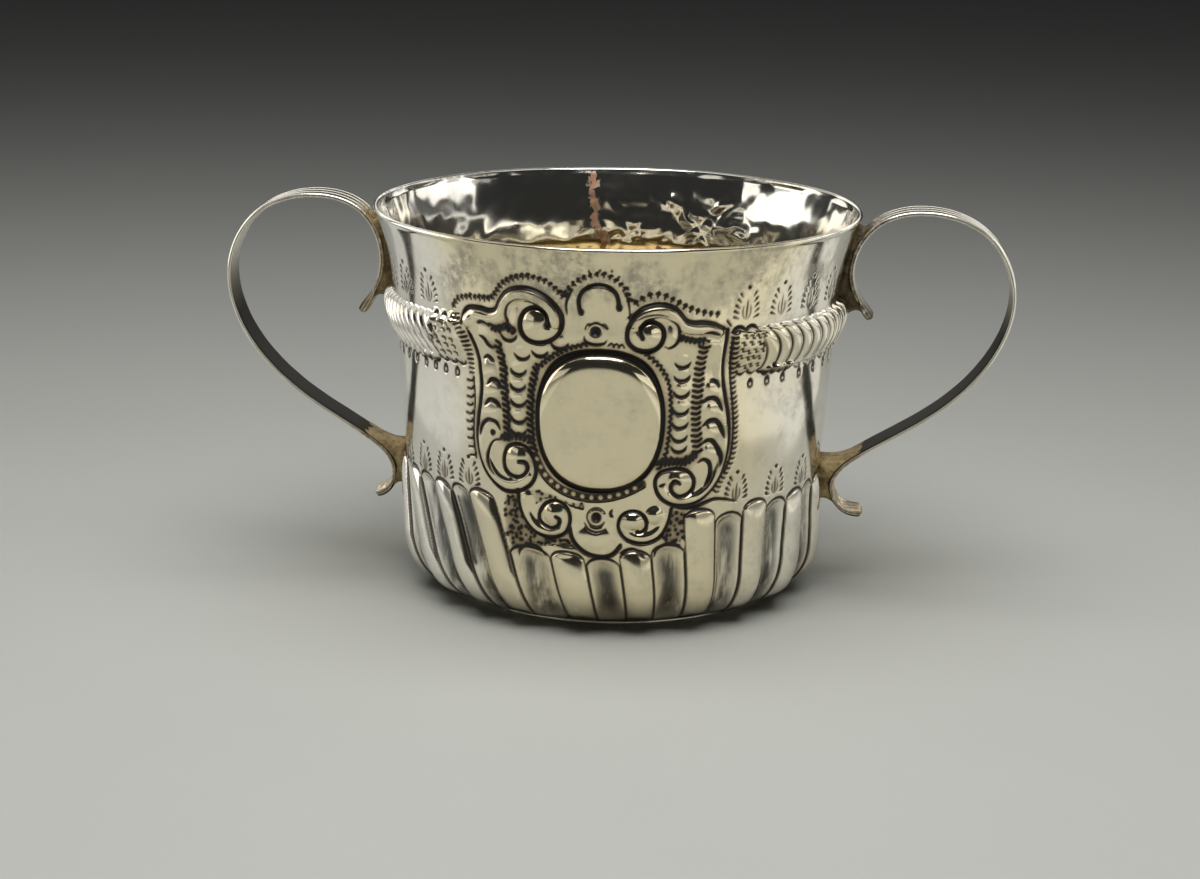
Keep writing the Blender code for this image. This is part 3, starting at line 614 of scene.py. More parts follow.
# Punched rows: round the outside, inside the borders and round the oval
def chaseRows(sheet):
    rows = [
        ([(-28, 59.4), (-26.6, 61), (-24, 61.7), (-20, 61.9), (-18.6, 62.9), (-17, 64.9), (-15, 66.2),
          (-12.5, 66.9), (-10, 66.6), (-8, 65.6), (-6.2, 63.8)], 1.0, hook, 1.15, 0.36, 0.2, 0.0),
        ([(-5.2, 64.4), (-4.4, 65.8), (-3, 67), (-1.5, 67.8), (0, 68.1), (1.6, 67.8), (3, 66.8),
          (4.3, 65.4), (5, 63.6)], 1.05, hook, 1.1, 0.36, 0.2, 0.0),
        ([(6.4, 63), (8, 64.1), (9.5, 64.5), (11, 64.2), (13, 63.2), (15.4, 61.8), (18, 60.9), (20.8, 60.4)],
         1.35, spade, 0.95, 0.4, 0.2, 0.0),
        ([(-27.4, 58.2), (-26.9, 56.4), (-25.8, 54.2), (-25.1, 51.4), (-24.8, 47.6)],
         0.88, dash, 0.72, 0.4, 0.26, 0.1),
        ([(-25.1, 46.4), (-25.2, 44), (-25.5, 41), (-25.7, 38), (-25.6, 35), (-25.2, 32.4)],
         1.5, crook, 1.0, 0.5, 0.24, 0.0),
        ([(24.4, 57), (24.6, 53), (25, 49), (25.4, 45), (26, 41), (26.3, 37), (26, 33.6), (25, 31.2),
          (23.8, 29.2), (23, 27.4)], 0.95, rung, 0.78, 0.38, 0.26, 0.08),
        ([(-18.9, 53.6), (-18.2, 50), (-17.9, 46), (-17.6, 42), (-17.5, 38), (-17.2, 36.6)],
         1.05, curl, 1.6, 0.6, 0.28, 0.18),
        ([(-11.6, 50.4), (-12.3, 47), (-12.7, 43), (-12.7, 39), (-12.4, 36), (-11.8, 33.6)],
         1.05, curl, 1.45, 0.56, 0.26, 0.18),
        ([(18.7, 54.8), (18.3, 51), (18.1, 47), (17.9, 43), (18.2, 39), (18.6, 35.4)],
         1.0, rung, 1.15, 0.56, 0.26, 0.16),
        ([(-10.6, 50.6), (-9.2, 51.9), (-7.4, 53.2), (-5.2, 54.4), (-2.6, 55.2)],
         0.95, wave, 1.15, 0.42, 0.2, 0.16),
        ([(2.2, 55.4), (4, 55.2)], 0.9, wave, 1.0, 0.34, 0.2, 0.0),
        ([(8.6, 53.4), (10.2, 52), (11.6, 50.2), (12.6, 48), (13, 45), (13.1, 42), (12.9, 38), (12.4, 35),
          (11.4, 32.8)], 1.0, wave, 1.05, 0.38, 0.2, 0.16),
        ([(14.4, 56.4), (16.4, 55.8), (18.4, 55.6)], 0.85, hook, 1.1, 0.42, 0.2, 0.16),
        ([(-19.6, 56.8), (-18.2, 56.4), (-17, 57.2), (-15.4, 56.6)], 0.8, curl, 1.3, 0.6, 0.2, 0.18),
        ([(11.6, 33.2), (14, 33.4), (16.4, 33.2), (18.2, 34.4)], 0.75, curl, 1.35, 0.6, 0.2, 0.18),
        ([(-18, 36.4), (-16.4, 36.8), (-14.6, 37), (-13, 36.6)], 0.8, curl, 1.35, 0.6, 0.2, 0.18),
    ]
    for row in rows:
        sheet.punchRow(*row)
    for place in ((0.2, 69.0), (2.1, 68.9), (3.3, 67.9), (-1.6, 68.8)):
        sheet.pit(place, 0.3, 0.16, 0.9)
    sheet.cut([(-24.4, 47), (-24.2, 43), (-24.7, 39), (-24.9, 35), (-24.5, 31.6)], 0.42, 0.2, 0.85)
    sheet.cut([(24.2, 56), (24.3, 51), (24.7, 47), (25.4, 42.5), (25.8, 38), (25.5, 33.8), (24.4, 30.6)],
              0.42, 0.22, 0.9)


# Bead row in the hollow under the oval
def chaseBeads(sheet):
    hollow = [(-11.4, 33.4), (-9.8, 30.6), (-7.4, 28.6), (-4.4, 27.4), (-1, 26.9), (2.4, 27.2), (5.6, 28.2),
              (8.4, 29.6)]
    sheet.cut(hollow, 1.9, 0.4, 0.62)
    for u, z in smoothLine(hollow, 1.75)[:-1]:
        chaseBead(sheet, u, z, 0.8)


# Lower scrolls, the button between them, the pointed foot of the shield and the matting round it
def chaseShieldFoot(sheet):
    sheet.roll([(-14.2, 26), (-13.4, 22.8), (-11.6, 20.6), (-9, 20), (-6.8, 20.8)], 2.0, 0.4, True)
    sheet.roll([(13.2, 23.6), (12, 21), (9.8, 19.6), (7, 19.6), (5.2, 20.8)], 1.7, 0.35, True)
    for centre, radii, rise in [((-8.2, 23.4), (2.1, 2.2), 0.85), ((6.9, 22.6), (2.3, 1.8), 0.9),
                                ((10.9, 23.6), (1.9, 1.8), 0.85), ((0, 23.3), (2.0, 2.0), 0.3),
                                ((-0.4, 19.2), (3.6, 2.4), 0.45), ((-5.6, 16.8), (2.6, 1.2), 0.35)]:
        sheet.hump(centre, radii, rise)
    sheet.hump((-13.6, 26.2), (1.2, 1.6), 0.45, 30)
    sheet.cut([(-15.2, 27.2), (-15.1, 25), (-14.3, 22.6), (-12.6, 20.4), (-10.4, 19.2), (-7.8, 19.1),
               (-5.8, 20.1), (-5, 22), (-5.2, 24), (-6.3, 25.4), (-8, 25.9), (-9.7, 25.2), (-10.8, 23.6),
               (-10.9, 22.1), (-9.8, 21), (-8.4, 20.7), (-7.2, 21.3), (-6.9, 22.5), (-7.6, 23.1)], 0.8, 0.4)
    sheet.cut([(14.1, 24.8), (13.5, 22.2), (12.3, 19.9), (10.3, 18.7), (8, 18.5), (5.6, 19.3), (4.3, 20.9),
               (4.2, 22.6), (5.1, 24), (6.7, 24.5), (8.3, 24.1), (9.3, 22.9), (9.4, 21.5), (8.6, 20.6),
               (7.6, 20.5)], 0.75, 0.38)
    sheet.pit((0, 23.3), 1.1, 0.7)
    sheet.cut(arcLine((0, 23.3), (1.75, 1.75), 30, 330), 0.4, 0.25, 0.9)
    sheet.cut([(-5, 21), (-4.6, 19.3), (-3.4, 17.6), (-1.6, 16.4), (0.4, 15.9), (2.2, 16), (3.6, 16.8),
               (4.6, 18.1)], 0.9, 0.35, 0.95)
    sheet.cutAll([
        ([(-2.3, 22.4), (-1.6, 21.1), (-0.2, 20.5), (1.2, 20.8), (1.9, 21.4)], 0.65, 0.3, 0.85),
        ([(3, 24.9), (2.6, 24), (3.2, 23.4)], 0.7, 0.3, 1.0),
        ([(-15.4, 14.4), (-15, 15.8), (-13.2, 17), (-11, 16.7), (-9.6, 15.2)], 0.8, 0.34, 0.9),
        ([(4.4, 16.6), (6.2, 17.3), (7.8, 17), (9.2, 15.6)], 0.8, 0.32, 0.85),
        ([(11.1, 15.6), (11.6, 17.2), (13.4, 18.1), (16.2, 17.8)], 0.75, 0.32, 1.0),
        ([(12.6, 26.2), (15.6, 24.9), (18.4, 24.8), (20.6, 25.4), (22.6, 25.9), (25, 25.6), (28, 24.8)],
         0.8, 0.4, 0.95),
    ])
    chaseMatting(sheet, [(-18.2, 25.4), (-15.6, 26.2), (-15.3, 23.6), (-13.4, 20.4), (-11, 18.7),
                         (-5.2, 18.9), (-4.2, 17.4), (-8, 17.6), (-12.6, 17.4), (-16.6, 16.2),
                         (-17.6, 18.2), (-18.2, 21)], 0.85)
    chaseMatting(sheet, [(14.5, 24.5), (17, 24), (16.8, 18.7), (13.2, 18.3), (12.6, 19.4), (13.8, 21.8)],
                        0.85)
    chaseMatting(sheet, [(-12.6, 27.6), (-9, 27.2), (-5, 25.8), (-2, 25.6), (-2.4, 24.6), (-5, 25.2),
                         (-7, 26.4), (-10, 26.2), (-11.6, 25)], 0.8, 0.9)


# Stopped ends of the band: loose hooks over a plain ground, with tabs and balls along the edges
def chaseStops(sheet):
    rightHook = np.array([(-0.45, 0.2), (0.1, 0.35), (0.0, -0.3), (0.45, -0.2)])
    leftHook = np.array([(-0.4, 0.3), (0.2, 0.25), (0.3, -0.3)])
    for column in range(4):
        for row in range(5):
            place = np.array([25.6 + 1.25 * column + 0.2 * row, 50.6 + 1.35 * row])
            sheet.cut(rightHook + place + 0.14 * handShake.standard_normal(2), 0.34, 0.2, 0.9)
            place = np.array([-32.4 + 1.6 * column - 0.3 * row, 50.8 + 1.35 * row])
            sheet.cut(leftHook + place + 0.14 * handShake.standard_normal(2), 0.42, 0.22, 0.9)
    for u in (-27.0, -29.2, -31.4, 26.6, 28.9, 31.2):
        sheet.cut(arcLine((u, 50.0), (1.05, 1.2), 185, 355), 0.5, 0.28, 1.0, "both")
    for u in (32.2, 34.2, 36.0, 37.7, -34.0, -36.2):
        sheet.hump((u, 49.1), (0.95, 0.95), 1.2, power=0.5)
        # painted dark reflection: a flat dark disc over each ball, with no cut
        sheet.pit((u, 49.1), 0.95, 0.0, 0.36)
        sheet.cut(arcLine((u, 49.1), (0.85, 0.95), 190, 350), 0.42, 0.3)
    for u in (-28.6, -30.9, -33.1):
        sheet.hump((u, 57.0), (1.1, 1.3), 0.8, power=0.5)
    for u in (25.3, 27.9):
        sheet.cut(arcLine((u, 56.7), (1.3, 1.1), 8, 172), 0.8, 0.36, 1.0, "both")
    sheet.cut([(22.8, 59.2), (23.6, 58.2)], 0.5, 0.25, 0.9)
    print("cartouche chased")


roundMarks = {"tab": 48.9, "tabLine": 49.1, "cup": 46.9, "leftRise": 0.3, "leftEnd": -37.5, "rightEnd": 39.0}
neckLeaf = {"low": 58.9, "tall": 6.5, "stroke": 0.62}
footLeaf = {"tall": 5.9, "stroke": 0.8, "dark": 0.9}


# Marks that run right round: tabs and small cups under the band, palmettes on the neck and over the flutes
def chaseRound(sheet):
    marks = roundMarks
    around = 2 * math.pi * sheet.radius

    def wrap(u):
        return (u + around / 2) % around - around / 2

    turns = np.linspace(-math.pi, math.pi, 2000)
    counted = countLobes(turns)
    for number in range(math.ceil(counted[0]), math.floor(counted[-1])):
        turn = np.interp(number + 0.5, counted, turns)
        u = (turn + lobeLean(turn, 1.0)) * sheet.radius + 0.4
        if u < marks["leftEnd"] or u > marks["rightEnd"]:
            sheet.hump((u, marks["tab"]), (1.15, 1.05), 0.5)
            sheet.cut(arcLine((u, marks["tabLine"]), (1.0, 1.0), 190, 350), 0.42, 0.22, 0.85, "both")
    for u in (-28.5, -31.7, -34.9, -38.2, -42.0, -46.0, 29.0, 33.0, 37.2, 42.4, 47.8, 53.2):
        chaseFlower(sheet, u, marks["cup"] + marks["leftRise"] * (u < 0), 0.9)
    for u in np.linspace(57.6, around - 50.2, 36):
        chaseFlower(sheet, wrap(u), marks["cup"], 0.85)
    for u in (-35.2, 26.6, 34.6, 43.0, 51.4):
        chasePalmette(sheet, u, dark=1.0, **neckLeaf)
    for u in np.linspace(59.8, around - 43.6, 20):
        chasePalmette(sheet, wrap(u), dark=0.95, **neckLeaf)
    for u, low in ((-41.2, 25.7), (-33.6, 25.9), (-26.6, 26.0), (27.6, 24.9), (37.8, 24.4), (47.4, 24.4)):
        chasePalmette(sheet, u, low, **footLeaf)
    for u in np.linspace(56.6, around - 50.4, 18):
        chasePalmette(sheet, wrap(u), 24.7, **footLeaf)
    print("round marks chased")


# Places of the mesh's columns round the cup, closer together over the cartouche
def bodyColumns(sheet):
    half = math.pi * sheet.radius
    reach = cupBody["frontReach"]
    u = [-half]
    while u[-1] < half:
        blend = float(ease(abs(u[-1]), reach, reach + 6))
        u.append(u[-1] + cupBody["frontGrain"] + (cupBody["backGrain"] - cupBody["frontGrain"]) * blend)
    u = np.array(u)
    return (u[:-1] + half) / (u[-1] + half) * 2 * half - half


# One closed mesh from rings of points, shut at both ends by a single point
def ringMesh(name, rings, firstPole, lastPole):
    count, columns = rings.shape[:2]
    points = np.vstack([rings.reshape(-1, 3), firstPole, lastPole]) * milli
    row = np.arange(count - 1)[:, None] * columns
    column = np.arange(columns)[None, :]
    ahead = (column + 1) % columns
    above = row + columns
    quads = np.stack([row + column, row + ahead, above + ahead, above + column], -1).reshape(-1, 4)
    pole = count * columns
    base = np.stack([np.full(columns, pole), ahead[0], column[0]], 1)
    top = (count - 1) * columns
    cap = np.stack([np.full(columns, pole + 1), top + column[0], top + ahead[0]], 1)
    mesh = bpy.data.meshes.new(name)
    corners = np.concatenate([quads.ravel(), base.ravel(), cap.ravel()])
    sizes = np.concatenate([np.full(len(quads), 4), np.full(len(base) + len(cap), 3)])
    mesh.vertices.add(len(points))
    mesh.vertices.foreach_set("co", points.ravel())
    mesh.loops.add(len(corners))
    mesh.loops.foreach_set("vertex_index", corners)
    mesh.polygons.add(len(sizes))
    mesh.polygons.foreach_set("loop_start", np.concatenate([[0], np.cumsum(sizes)[:-1]]))
    mesh.update(calc_edges=True)
    mesh.validate()
    mesh.shade_smooth()
    return mesh


def addMask(mesh, name, values):
    layer = mesh.attributes.new(name, "FLOAT", "POINT")
    layer.data.foreach_set("value", np.ascontiguousarray(values, np.float32))


def addPiece(name, mesh, finish, slot, *nodes):
    piece = bpy.data.objects.new(name, mesh)
    bpy.context.scene.collection.objects.link(piece)
    mesh.materials.append(finish.material)
    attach(piece, "root")
    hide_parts(*nodes)


# Sharp dents hammered into the far wall, seen inside the mouth
def crinkles(sheet):
    u, z = np.meshgrid(sheet.u, sheet.z)
    broad = soften(sheet, handShake.standard_normal(sheet.swell.shape), 1.7)
    sharp = soften(sheet, handShake.standard_normal(sheet.swell.shape), 0.8)
    folds = 0.8 * broad / broad.std() - 0.3 * np.abs(sharp / sharp.std()) + 0.24
    turn = np.abs((u / sheet.radius - cupBody["crinkleTurn"] + math.pi) % (2 * math.pi) - math.pi)
    place = ease(turn, 0.62, 0.2) * ease(z, 50, 55) * ease(z, 72, 66)
    return cupBody["crinkle"] * folds * place


# Outer and inner relief, and the dark in the cuts with its soft halo
def bodyRelief(sheet):
    grain = handShake.standard_normal(sheet.swell.shape)
    ripple = soften(sheet, grain, 2.6)
    ripple *= cupBody["ripple"] / ripple.std()
    dents = soften(sheet, grain, 1.1)
    dents *= cupBody["dents"] / dents.std()
    outside = soften(sheet, sheet.swell, 0.14) + sheet.cuts + ripple
    within = 0.75 * soften(sheet, sheet.swell + 0.6 * sheet.cuts, 0.55)
    within = within + 1.6 * ripple + dents + crinkles(sheet)
    grime = np.clip(1.7 * soften(sheet, sheet.dark, 0.55), 0, 1)
    return outside, within, soften(sheet, sheet.dark, 0.1), grime


# Unrolled map for baking: length along the section upwards, turn across
def unrollBody(mesh, rings):
    count, columns = rings.shape[:2]
    corners = np.empty(len(mesh.loops), np.int32)
    mesh.loops.foreach_get("vertex_index", corners)
    way = wayAlong(rings[:, 0])
    along = np.concatenate([np.repeat(0.02 + 0.96 * way / way[-1], columns), [0.0, 1.0]])
    across = np.concatenate([np.tile(np.arange(columns) / columns, count), [0.5, 0.5]])
    spread = np.stack([across[corners], along[corners]], 1)
    quads = spread[:(count - 1) * columns * 4].reshape(-1, 4, 2)
    turns = quads[:, :, 0]
    turns += (turns.max(1) - turns.min(1) > 0.5)[:, None] & (turns < 0.5)  # faces over the seam
    mesh.uv_layers.new(name="OFBake").data.foreach_set("uv", spread.astype(np.float32).ravel())


def makeBody(finish):
    sheet, shape = chased, cupBody
    for chase in (chaseRope, chaseFlutes, chaseOval, chaseUpperScrolls, chaseArch, chaseBorders, chaseScales,
                  chaseRows, chaseBeads, chaseShieldFoot, chaseStops, chaseRound):
        chase(sheet)
    outside, within, dark, grime = bodyRelief(sheet)
    u = bodyColumns(sheet)
    angle = u / sheet.radius
    base, belly = shape["baseHeight"], shape["bellyHeight"]
    lipLow = shape["height"] - shape["lip"]
    rings, masks = [], []

    def ring(radius, height, *marks):
        radius = np.broadcast_to(radius, u.shape)
        height = np.broadcast_to(height, u.shape)
        rings.append(np.stack([radius * np.sin(angle), -radius * np.cos(angle), height], 1))
        masks.append(np.stack([np.broadcast_to(mark, u.shape) for mark in marks], 1))

    for radius in shape["soleRings"]:
        ring(radius, base, 0.0, 0.4, 0.0, 0.0)
    rounded = base + (belly - base) * (1 - np.cos(np.linspace(0, math.pi / 2, 36)[1:]))
    spans = (belly + 0.35, 15.2, 0.35), (15.2, 69.0, 0.2), (69.0, lipLow, 0.5)
    for height in np.concatenate([rounded, *(np.arange(*span) for span in spans)]):
        at = np.full_like(u, height)
        marks = [sheet.read(field, u, at) for field in (dark, grime, sheet.tarnish)]
        ring(wallRadius(at) + sheet.read(outside, u, at), height, *marks, 0.0)

    # rounded lip, a little thicker than the sheet
    middle = shape["rim"] - shape["sheet"] / 2 - 0.08
    wobble = 0.05 * np.sin(3 * angle + 0.7) + 0.04 * np.sin(7 * angle)
    for share in np.linspace(0.0, math.pi, 9):
        height = lipLow + (shape["lip"] + wobble) * math.sin(share)
        ring(middle + shape["lipHalf"] * math.cos(share), height, 0.0, 0.0, 0.0, 0.0)

    floor = base + shape["sheet"]
    rounded = floor + (belly - floor) * (1 - np.cos(np.linspace(0.25, math.pi / 2, 16)))
    spans = (lipLow - 0.45, 42.0, -0.45), (42.0, belly, -1.4)
    for height in np.concatenate([*(np.arange(*span) for span in spans), rounded[::-1]]):
        at = np.full_like(u, height)
        radius = np.where(at < belly, bellyRadius(at, floor), wallRadius(at)) - shape["sheet"]
        radius = radius + sheet.read(within, u, at) * ease(height, floor, floor + 3)
        ring(radius, height, 0.0, 0.3 * sheet.read(grime, u, at), 0.0, 1.0)
    for radius in shape["floorRings"]:
        sag = 0.35 * (1 - (radius / 31) ** 2) + 0.05 * math.sin(radius)
        ring(radius, floor + 0.02 + 0.3 * sag, 0.0, 0.2, 0.0, 1.0)
    rings = np.array(rings)
    masks = np.vstack([np.concatenate(masks), [[0, 0.4, 0, 0]], [[0, 0.2, 0, 1]]])
    mesh = ringMesh("cup_body_silver", rings, (0, 0, base), (0, 0, floor - 0.12))
    for number, name in enumerate(("patina", "grime", "tarnish", "inside")):
        addMask(mesh, name, masks[:, number])
    unrollBody(mesh, rings)
    addPiece("cup_body_silver", mesh, finish, "silver", "cup_body")
    print("body raised:", len(mesh.polygons), "faces")


# Reeded strap handles

strapHandle = {
    "stations": [(48.4, 52.9), (44.4, 60.6), (48.07, 70.52), (58.5, 73.65), (69.77, 69.31),
                 (74.6, 59.2), (70.53, 45.39), (61.74, 36.05), (48.23, 27.5), (42.04, 20.3),
                 (44.39, 15.93), (48.24, 15.1)],
    "leftMoves": [(0.3, -1.9), (0.1, -0.6), (0.0, 0.0), (-0.3, -0.1), (-0.8, -0.1), (-0.95, 0.0),
                  (-0.8, 0.1), (-0.5, 0.2), (-0.1, 0.1), (0.0, 0.2), (-0.7, 0.3), (-2.2, 0.1)],
    "width": 7.6, "thickness": 1.1, "edge": 0.5, "edgeLine": 0.16, "reeds": 3, "reedDepth": 0.26,
    "steps": 220, "tip": 0.78, "knob": 0.65, "topHeated": (30, 18), "footHeated": (26, 14),
}


# Natural cubic spline through the stations, spaced evenly; the left strap was bent a little differently
def strapPath(count, side):
    knots = np.array(strapHandle["stations"])
    if side < 0:
        knots = knots + np.array(strapHandle["leftMoves"])
    chords = np.linalg.norm(np.diff(knots, axis=0), axis=1)
    places = np.concatenate([[0.0], np.cumsum(chords)])
    last = len(knots) - 1
    matrix = np.eye(last + 1)
    right = np.zeros((last + 1, 2))
    for row in range(1, last):
        before, after = chords[row - 1], chords[row]
        matrix[row, row - 1:row + 2] = before, 2 * (before + after), after
        right[row] = 6 * ((knots[row + 1] - knots[row]) / after - (knots[row] - knots[row - 1]) / before)
    bends = np.linalg.solve(matrix, right)
    place = np.linspace(0.0, places[-1], count)
    cell = np.clip(np.searchsorted(places, place, side="right") - 1, 0, last - 1)
    chord = chords[cell][:, None]
    near = place[:, None] - places[cell][:, None]
    far = chord - near
    points = (bends[cell] * far ** 3 + bends[cell + 1] * near ** 3) / (6 * chord)
    points += (knots[cell] / chord - bends[cell] * chord / 6) * far
    return points + (knots[cell + 1] / chord - bends[cell + 1] * chord / 6) * near


# Directions to the left of a path
def leftOf(path):
    along = np.gradient(path, axis=0)
    along /= np.linalg.norm(along, axis=1)[:, None]
    return np.stack([-along[:, 1], along[:, 0]], 1)


# Section across the strap: (width place, outward place, groove share), outer reeded face first
def strapSection():
    shape = strapHandle
    thick = shape["thickness"] / 2
    flat = shape["width"] / 2 - shape["edge"]

    def edge(side):
        for turn in side * np.linspace(75, -75, 9):
            line = max(0.0, 1 - abs(turn) / 19)
            reach = flat + shape["edge"] * math.cos(math.radians(turn)) - shape["edgeLine"] * line
            yield side * reach, (thick - 0.12) * math.sin(math.radians(turn)), line

    section = []
    for share in np.linspace(-1, 1, 37):
        reed = abs(math.sin(math.pi * shape["reeds"] * (share + 1) / 2))
        face = thick - shape["reedDepth"] * (1 - reed ** 0.55)
        section.append((share * flat, face, max(0.0, 1 - 2.2 * reed)))
    section += edge(1)
    section += [(share * flat, -thick + 0.1 * share * share, 0.0) for share in np.linspace(1, -1, 13)]
    section += edge(-1)
    return np.array(section)


def makeHandles(finish):
    shape = strapHandle
    section = strapSection()
    inner = (section[:, 1] < -0.2).astype(float)
    for name, side in (("right_handle", 1), ("left_handle", -1)):
        path = strapPath(shape["steps"], side)
        outward = leftOf(path)
        way = wayAlong(path)
        total = way[-1]
        toEnd = np.minimum(way, total - way)
        narrow = shape["tip"] + (1 - shape["tip"]) * ease(toEnd, 0.0, 9.0)
        rounding = np.sqrt(np.clip(1 - (1 - np.clip(toEnd / 0.9, 0, 1)) ** 2, 0.03, 1))
        knob = 1 + shape["knob"] * ease(toEnd, 5.5, 1.2)
        soldered = ease(way, *shape["topHeated"]) + ease(total - way, *shape["footHeated"])
        rings, masks = [], []
        for number in range(len(path)):
            wide = section[:, 0] * narrow[number] * (0.4 + 0.6 * rounding[number])
            thick = section[:, 1] * rounding[number] * knob[number]
            wobble = 0.05 * math.sin(way[number] * 0.35 + side) + 0.03 * math.sin(way[number] * 1.1)
            reach = path[number, 0] + outward[number, 0] * thick
            height = path[number, 1] + outward[number, 1] * thick
            rings.append(np.stack([side * reach, -side * (wide + wobble), height], 1))
            masks.append(np.stack([section[:, 2], inner, np.full(len(section), soldered[number])], 1))
        masks = np.vstack([np.concatenate(masks), [[0, 0, 1]], [[0, 0, 1]]])
        poles = [(side * path[end, 0], 0.0, path[end, 1]) for end in (0, -1)]
        mesh = ringMesh(name + "_strap", np.array(rings), *poles)
        for number, mask in enumerate(("groove", "innerFace", "soldered")):
            addMask(mesh, mask, masks[:, number])
        addPiece(name + "_strap", mesh, finish, "strap_silver", name)
        print(name, "bent: strap length", round(total, 1), "mm")


# Solder between straps and wall

solderSeat = {
    "upper": (53.6, 71.0), "lower": (16.9, 26.1), "half": 3.45, "slices": 23, "rows": 34, "lump": 0.16,
    "wallSink": 0.12, "strapSink": 0.06, "upperReach": 48.6, "lowerReach": 48.4,
    "meanRadius": 44, "steps": 600,
}


# One slice of a bed: up the wall, over to the strap, down the strap and back
def solderSlice(place, side, heights, wall, strap):
    shrink = 1 - 0.16 * abs(place) ** 2.5
    spots = (0.5 + np.linspace(-0.5, 0.5, len(heights)) * shrink) * (len(heights) - 1)
    rows = np.arange(len(heights))
    wallSide = np.stack([np.interp(spots, rows, wall), np.interp(spots, rows, heights)], 1)
    strapSide = np.stack([np.interp(spots, rows, strap[:, 0]), np.interp(spots, rows, strap[:, 1])], 1)
    ends = []
    for sag, start, stop in ((-0.9, wallSide[-1], strapSide[-1]), (0.9, strapSide[0], wallSide[0])):
        bend = np.linspace(0, 1, 8)[1:-1, None]
        dip = np.array([0.0, sag]) * np.sin(math.pi * bend) * min(1.0, np.linalg.norm(stop - start) / 3)
        ends.append(start + (stop - start) * bend + dip)
    loop = np.vstack([wallSide, ends[0], strapSide[::-1], ends[1]])
    y = solderSeat["half"] * place * (1 - 0.0165 * abs(place) ** 3)
    x = loop[:, 0] - y * y / (2 * solderSeat["meanRadius"]) * (loop[:, 0] < wall.max() + 0.3)
    return np.stack([side * x, np.full(len(loop), -side * y), loop[:, 1]], 1)


# Lumps left by the flame, as a smoothed wave over the rings
def addLumps(rings):
    wave = handShake.standard_normal(rings.shape[:2])
    for smoothing in range(4):
        wave = (wave + np.roll(wave, 1, 1) + np.roll(wave, -1, 1)) / 3
        wave[1:-1] = (wave[1:-1] + wave[2:] + wave[:-2]) / 3
    away = rings - rings.mean(axis=(0, 1))
    away /= np.linalg.norm(away, axis=2, keepdims=True)
    return rings + away * (wave / wave.std() * solderSeat["lump"] * 0.5)[:, :, None]


def makeSolder(finish):
    shape = solderSeat
    inset = strapHandle["thickness"] / 2 - shape["strapSink"]
    for name, side in (("right", 1), ("left", -1)):
        path = strapPath(shape["steps"], side)
        left = leftOf(path)
        middle = len(path) // 2
        for seat in ("upper", "lower"):
            low, high = shape[seat]
            heights = np.linspace(low, high, shape["rows"])
            turn = np.full_like(heights, math.pi / 2 * side * chased.radius)
            wall = wallRadius(heights) + chased.read(chased.swell, turn, heights) - shape["wallSink"]
            if seat == "upper":
                face = (path + left * inset)[:middle]
                reach, height = face.T
                face = face[(height > low - 0.2) & (height < high + 0.6) & (reach < shape["upperReach"])]
            else:
                face = (path - left * inset)[middle:]
                reach, height = face.T
                face = face[(height > low - 0.6) & (reach < shape["lowerReach"])][::-1]
            spots = np.linspace(0, len(face) - 1, shape["rows"])
            strap = np.stack([np.interp(spots, np.arange(len(face)), face[:, axis]) for axis in (0, 1)], 1)
            places = np.linspace(-1, 1, shape["slices"])
            rings = addLumps(np.array([solderSlice(place, side, heights, wall, strap) for place in places]))
            poles = [rings[0].mean(0), rings[-1].mean(0)]
            if side > 0:
                rings = rings[:, ::-1]
            node = name + "_" + seat + "_solder"
            addPiece(node + "_bed", ringMesh(node + "_bed", rings, *poles), finish, "solder", node)
    print("solder run in")


# Wire under the base

footWire = {"outer": 31.2, "width": 1.8, "height": 1.2, "columns": 320}


def makeFoot(finish):
    shape = footWire
    turn = np.linspace(0, 2 * math.pi, shape["columns"], endpoint=False)[:, None]
    angles = np.linspace(0, 2 * math.pi, 20, endpoint=False)
    radius = shape["outer"] - shape["width"] / 2 + shape["width"] / 2 * np.cos(angles)
    height = np.clip(shape["height"] * 0.52 + shape["height"] * 0.62 * np.sin(angles), 0.0, shape["height"])
    points = np.stack([radius * np.sin(turn), -radius * np.cos(turn), height + 0 * turn], 2)
    count, columns = points.shape[:2]
    row, column = np.meshgrid(np.arange(count), np.arange(columns), indexing="ij")
    here, after = row * columns, (row + 1) % count * columns
    ahead = (column + 1) % columns
    faces = np.stack([here + column, after + column, after + ahead, here + ahead], -1)
    mesh = bpy.data.meshes.new("foot_wire_ring")
    mesh.from_pydata((points.reshape(-1, 3) * milli).tolist(), [], faces.reshape(-1, 4).tolist())
    mesh.shade_smooth()
    addPiece("foot_wire_ring", mesh, finish, "strap_silver", "foot_wire")
    print("foot wire laid")


# Finishes

silverLook = {
    "clean": (0.93, 0.90, 0.82, 1), "warm": (0.86, 0.765, 0.535, 1), "smudge": (0.29, 0.275, 0.24, 1),
    # foot is a painted shade colour: the contact shadow's dark reflection round the bottom of the wall
    "brown": (0.20, 0.125, 0.055, 1), "tarnish": (0.06, 0.062, 0.06, 1), "foot": (0.045, 0.03, 0.014, 1),
    "black": (0.012, 0.010, 0.007, 1), "gold": (0.19, 0.14, 0.065, 1), "rust": (0.40, 0.175, 0.075, 1),
    # innerFace is a painted shade colour for the straps' inner faces
    "tan": (0.36, 0.26, 0.12, 1), "scorched": (0.10, 0.07, 0.03, 1), "innerFace": (0.007, 0.007, 0.006, 1),
    "gloss": 0.09, "smudgeGloss": 0.20, "tarnishGloss": 0.30, "patinaGloss": 0.42,
}
solderLook = {
    "dark": (0.17, 0.11, 0.045, 1), "pale": (0.50, 0.38, 0.19, 1), "grain": (0.62, 0.5, 0.28, 1),
    "pit": (0.06, 0.035, 0.012, 1), "burnt": (0.03, 0.02, 0.01, 1),
}


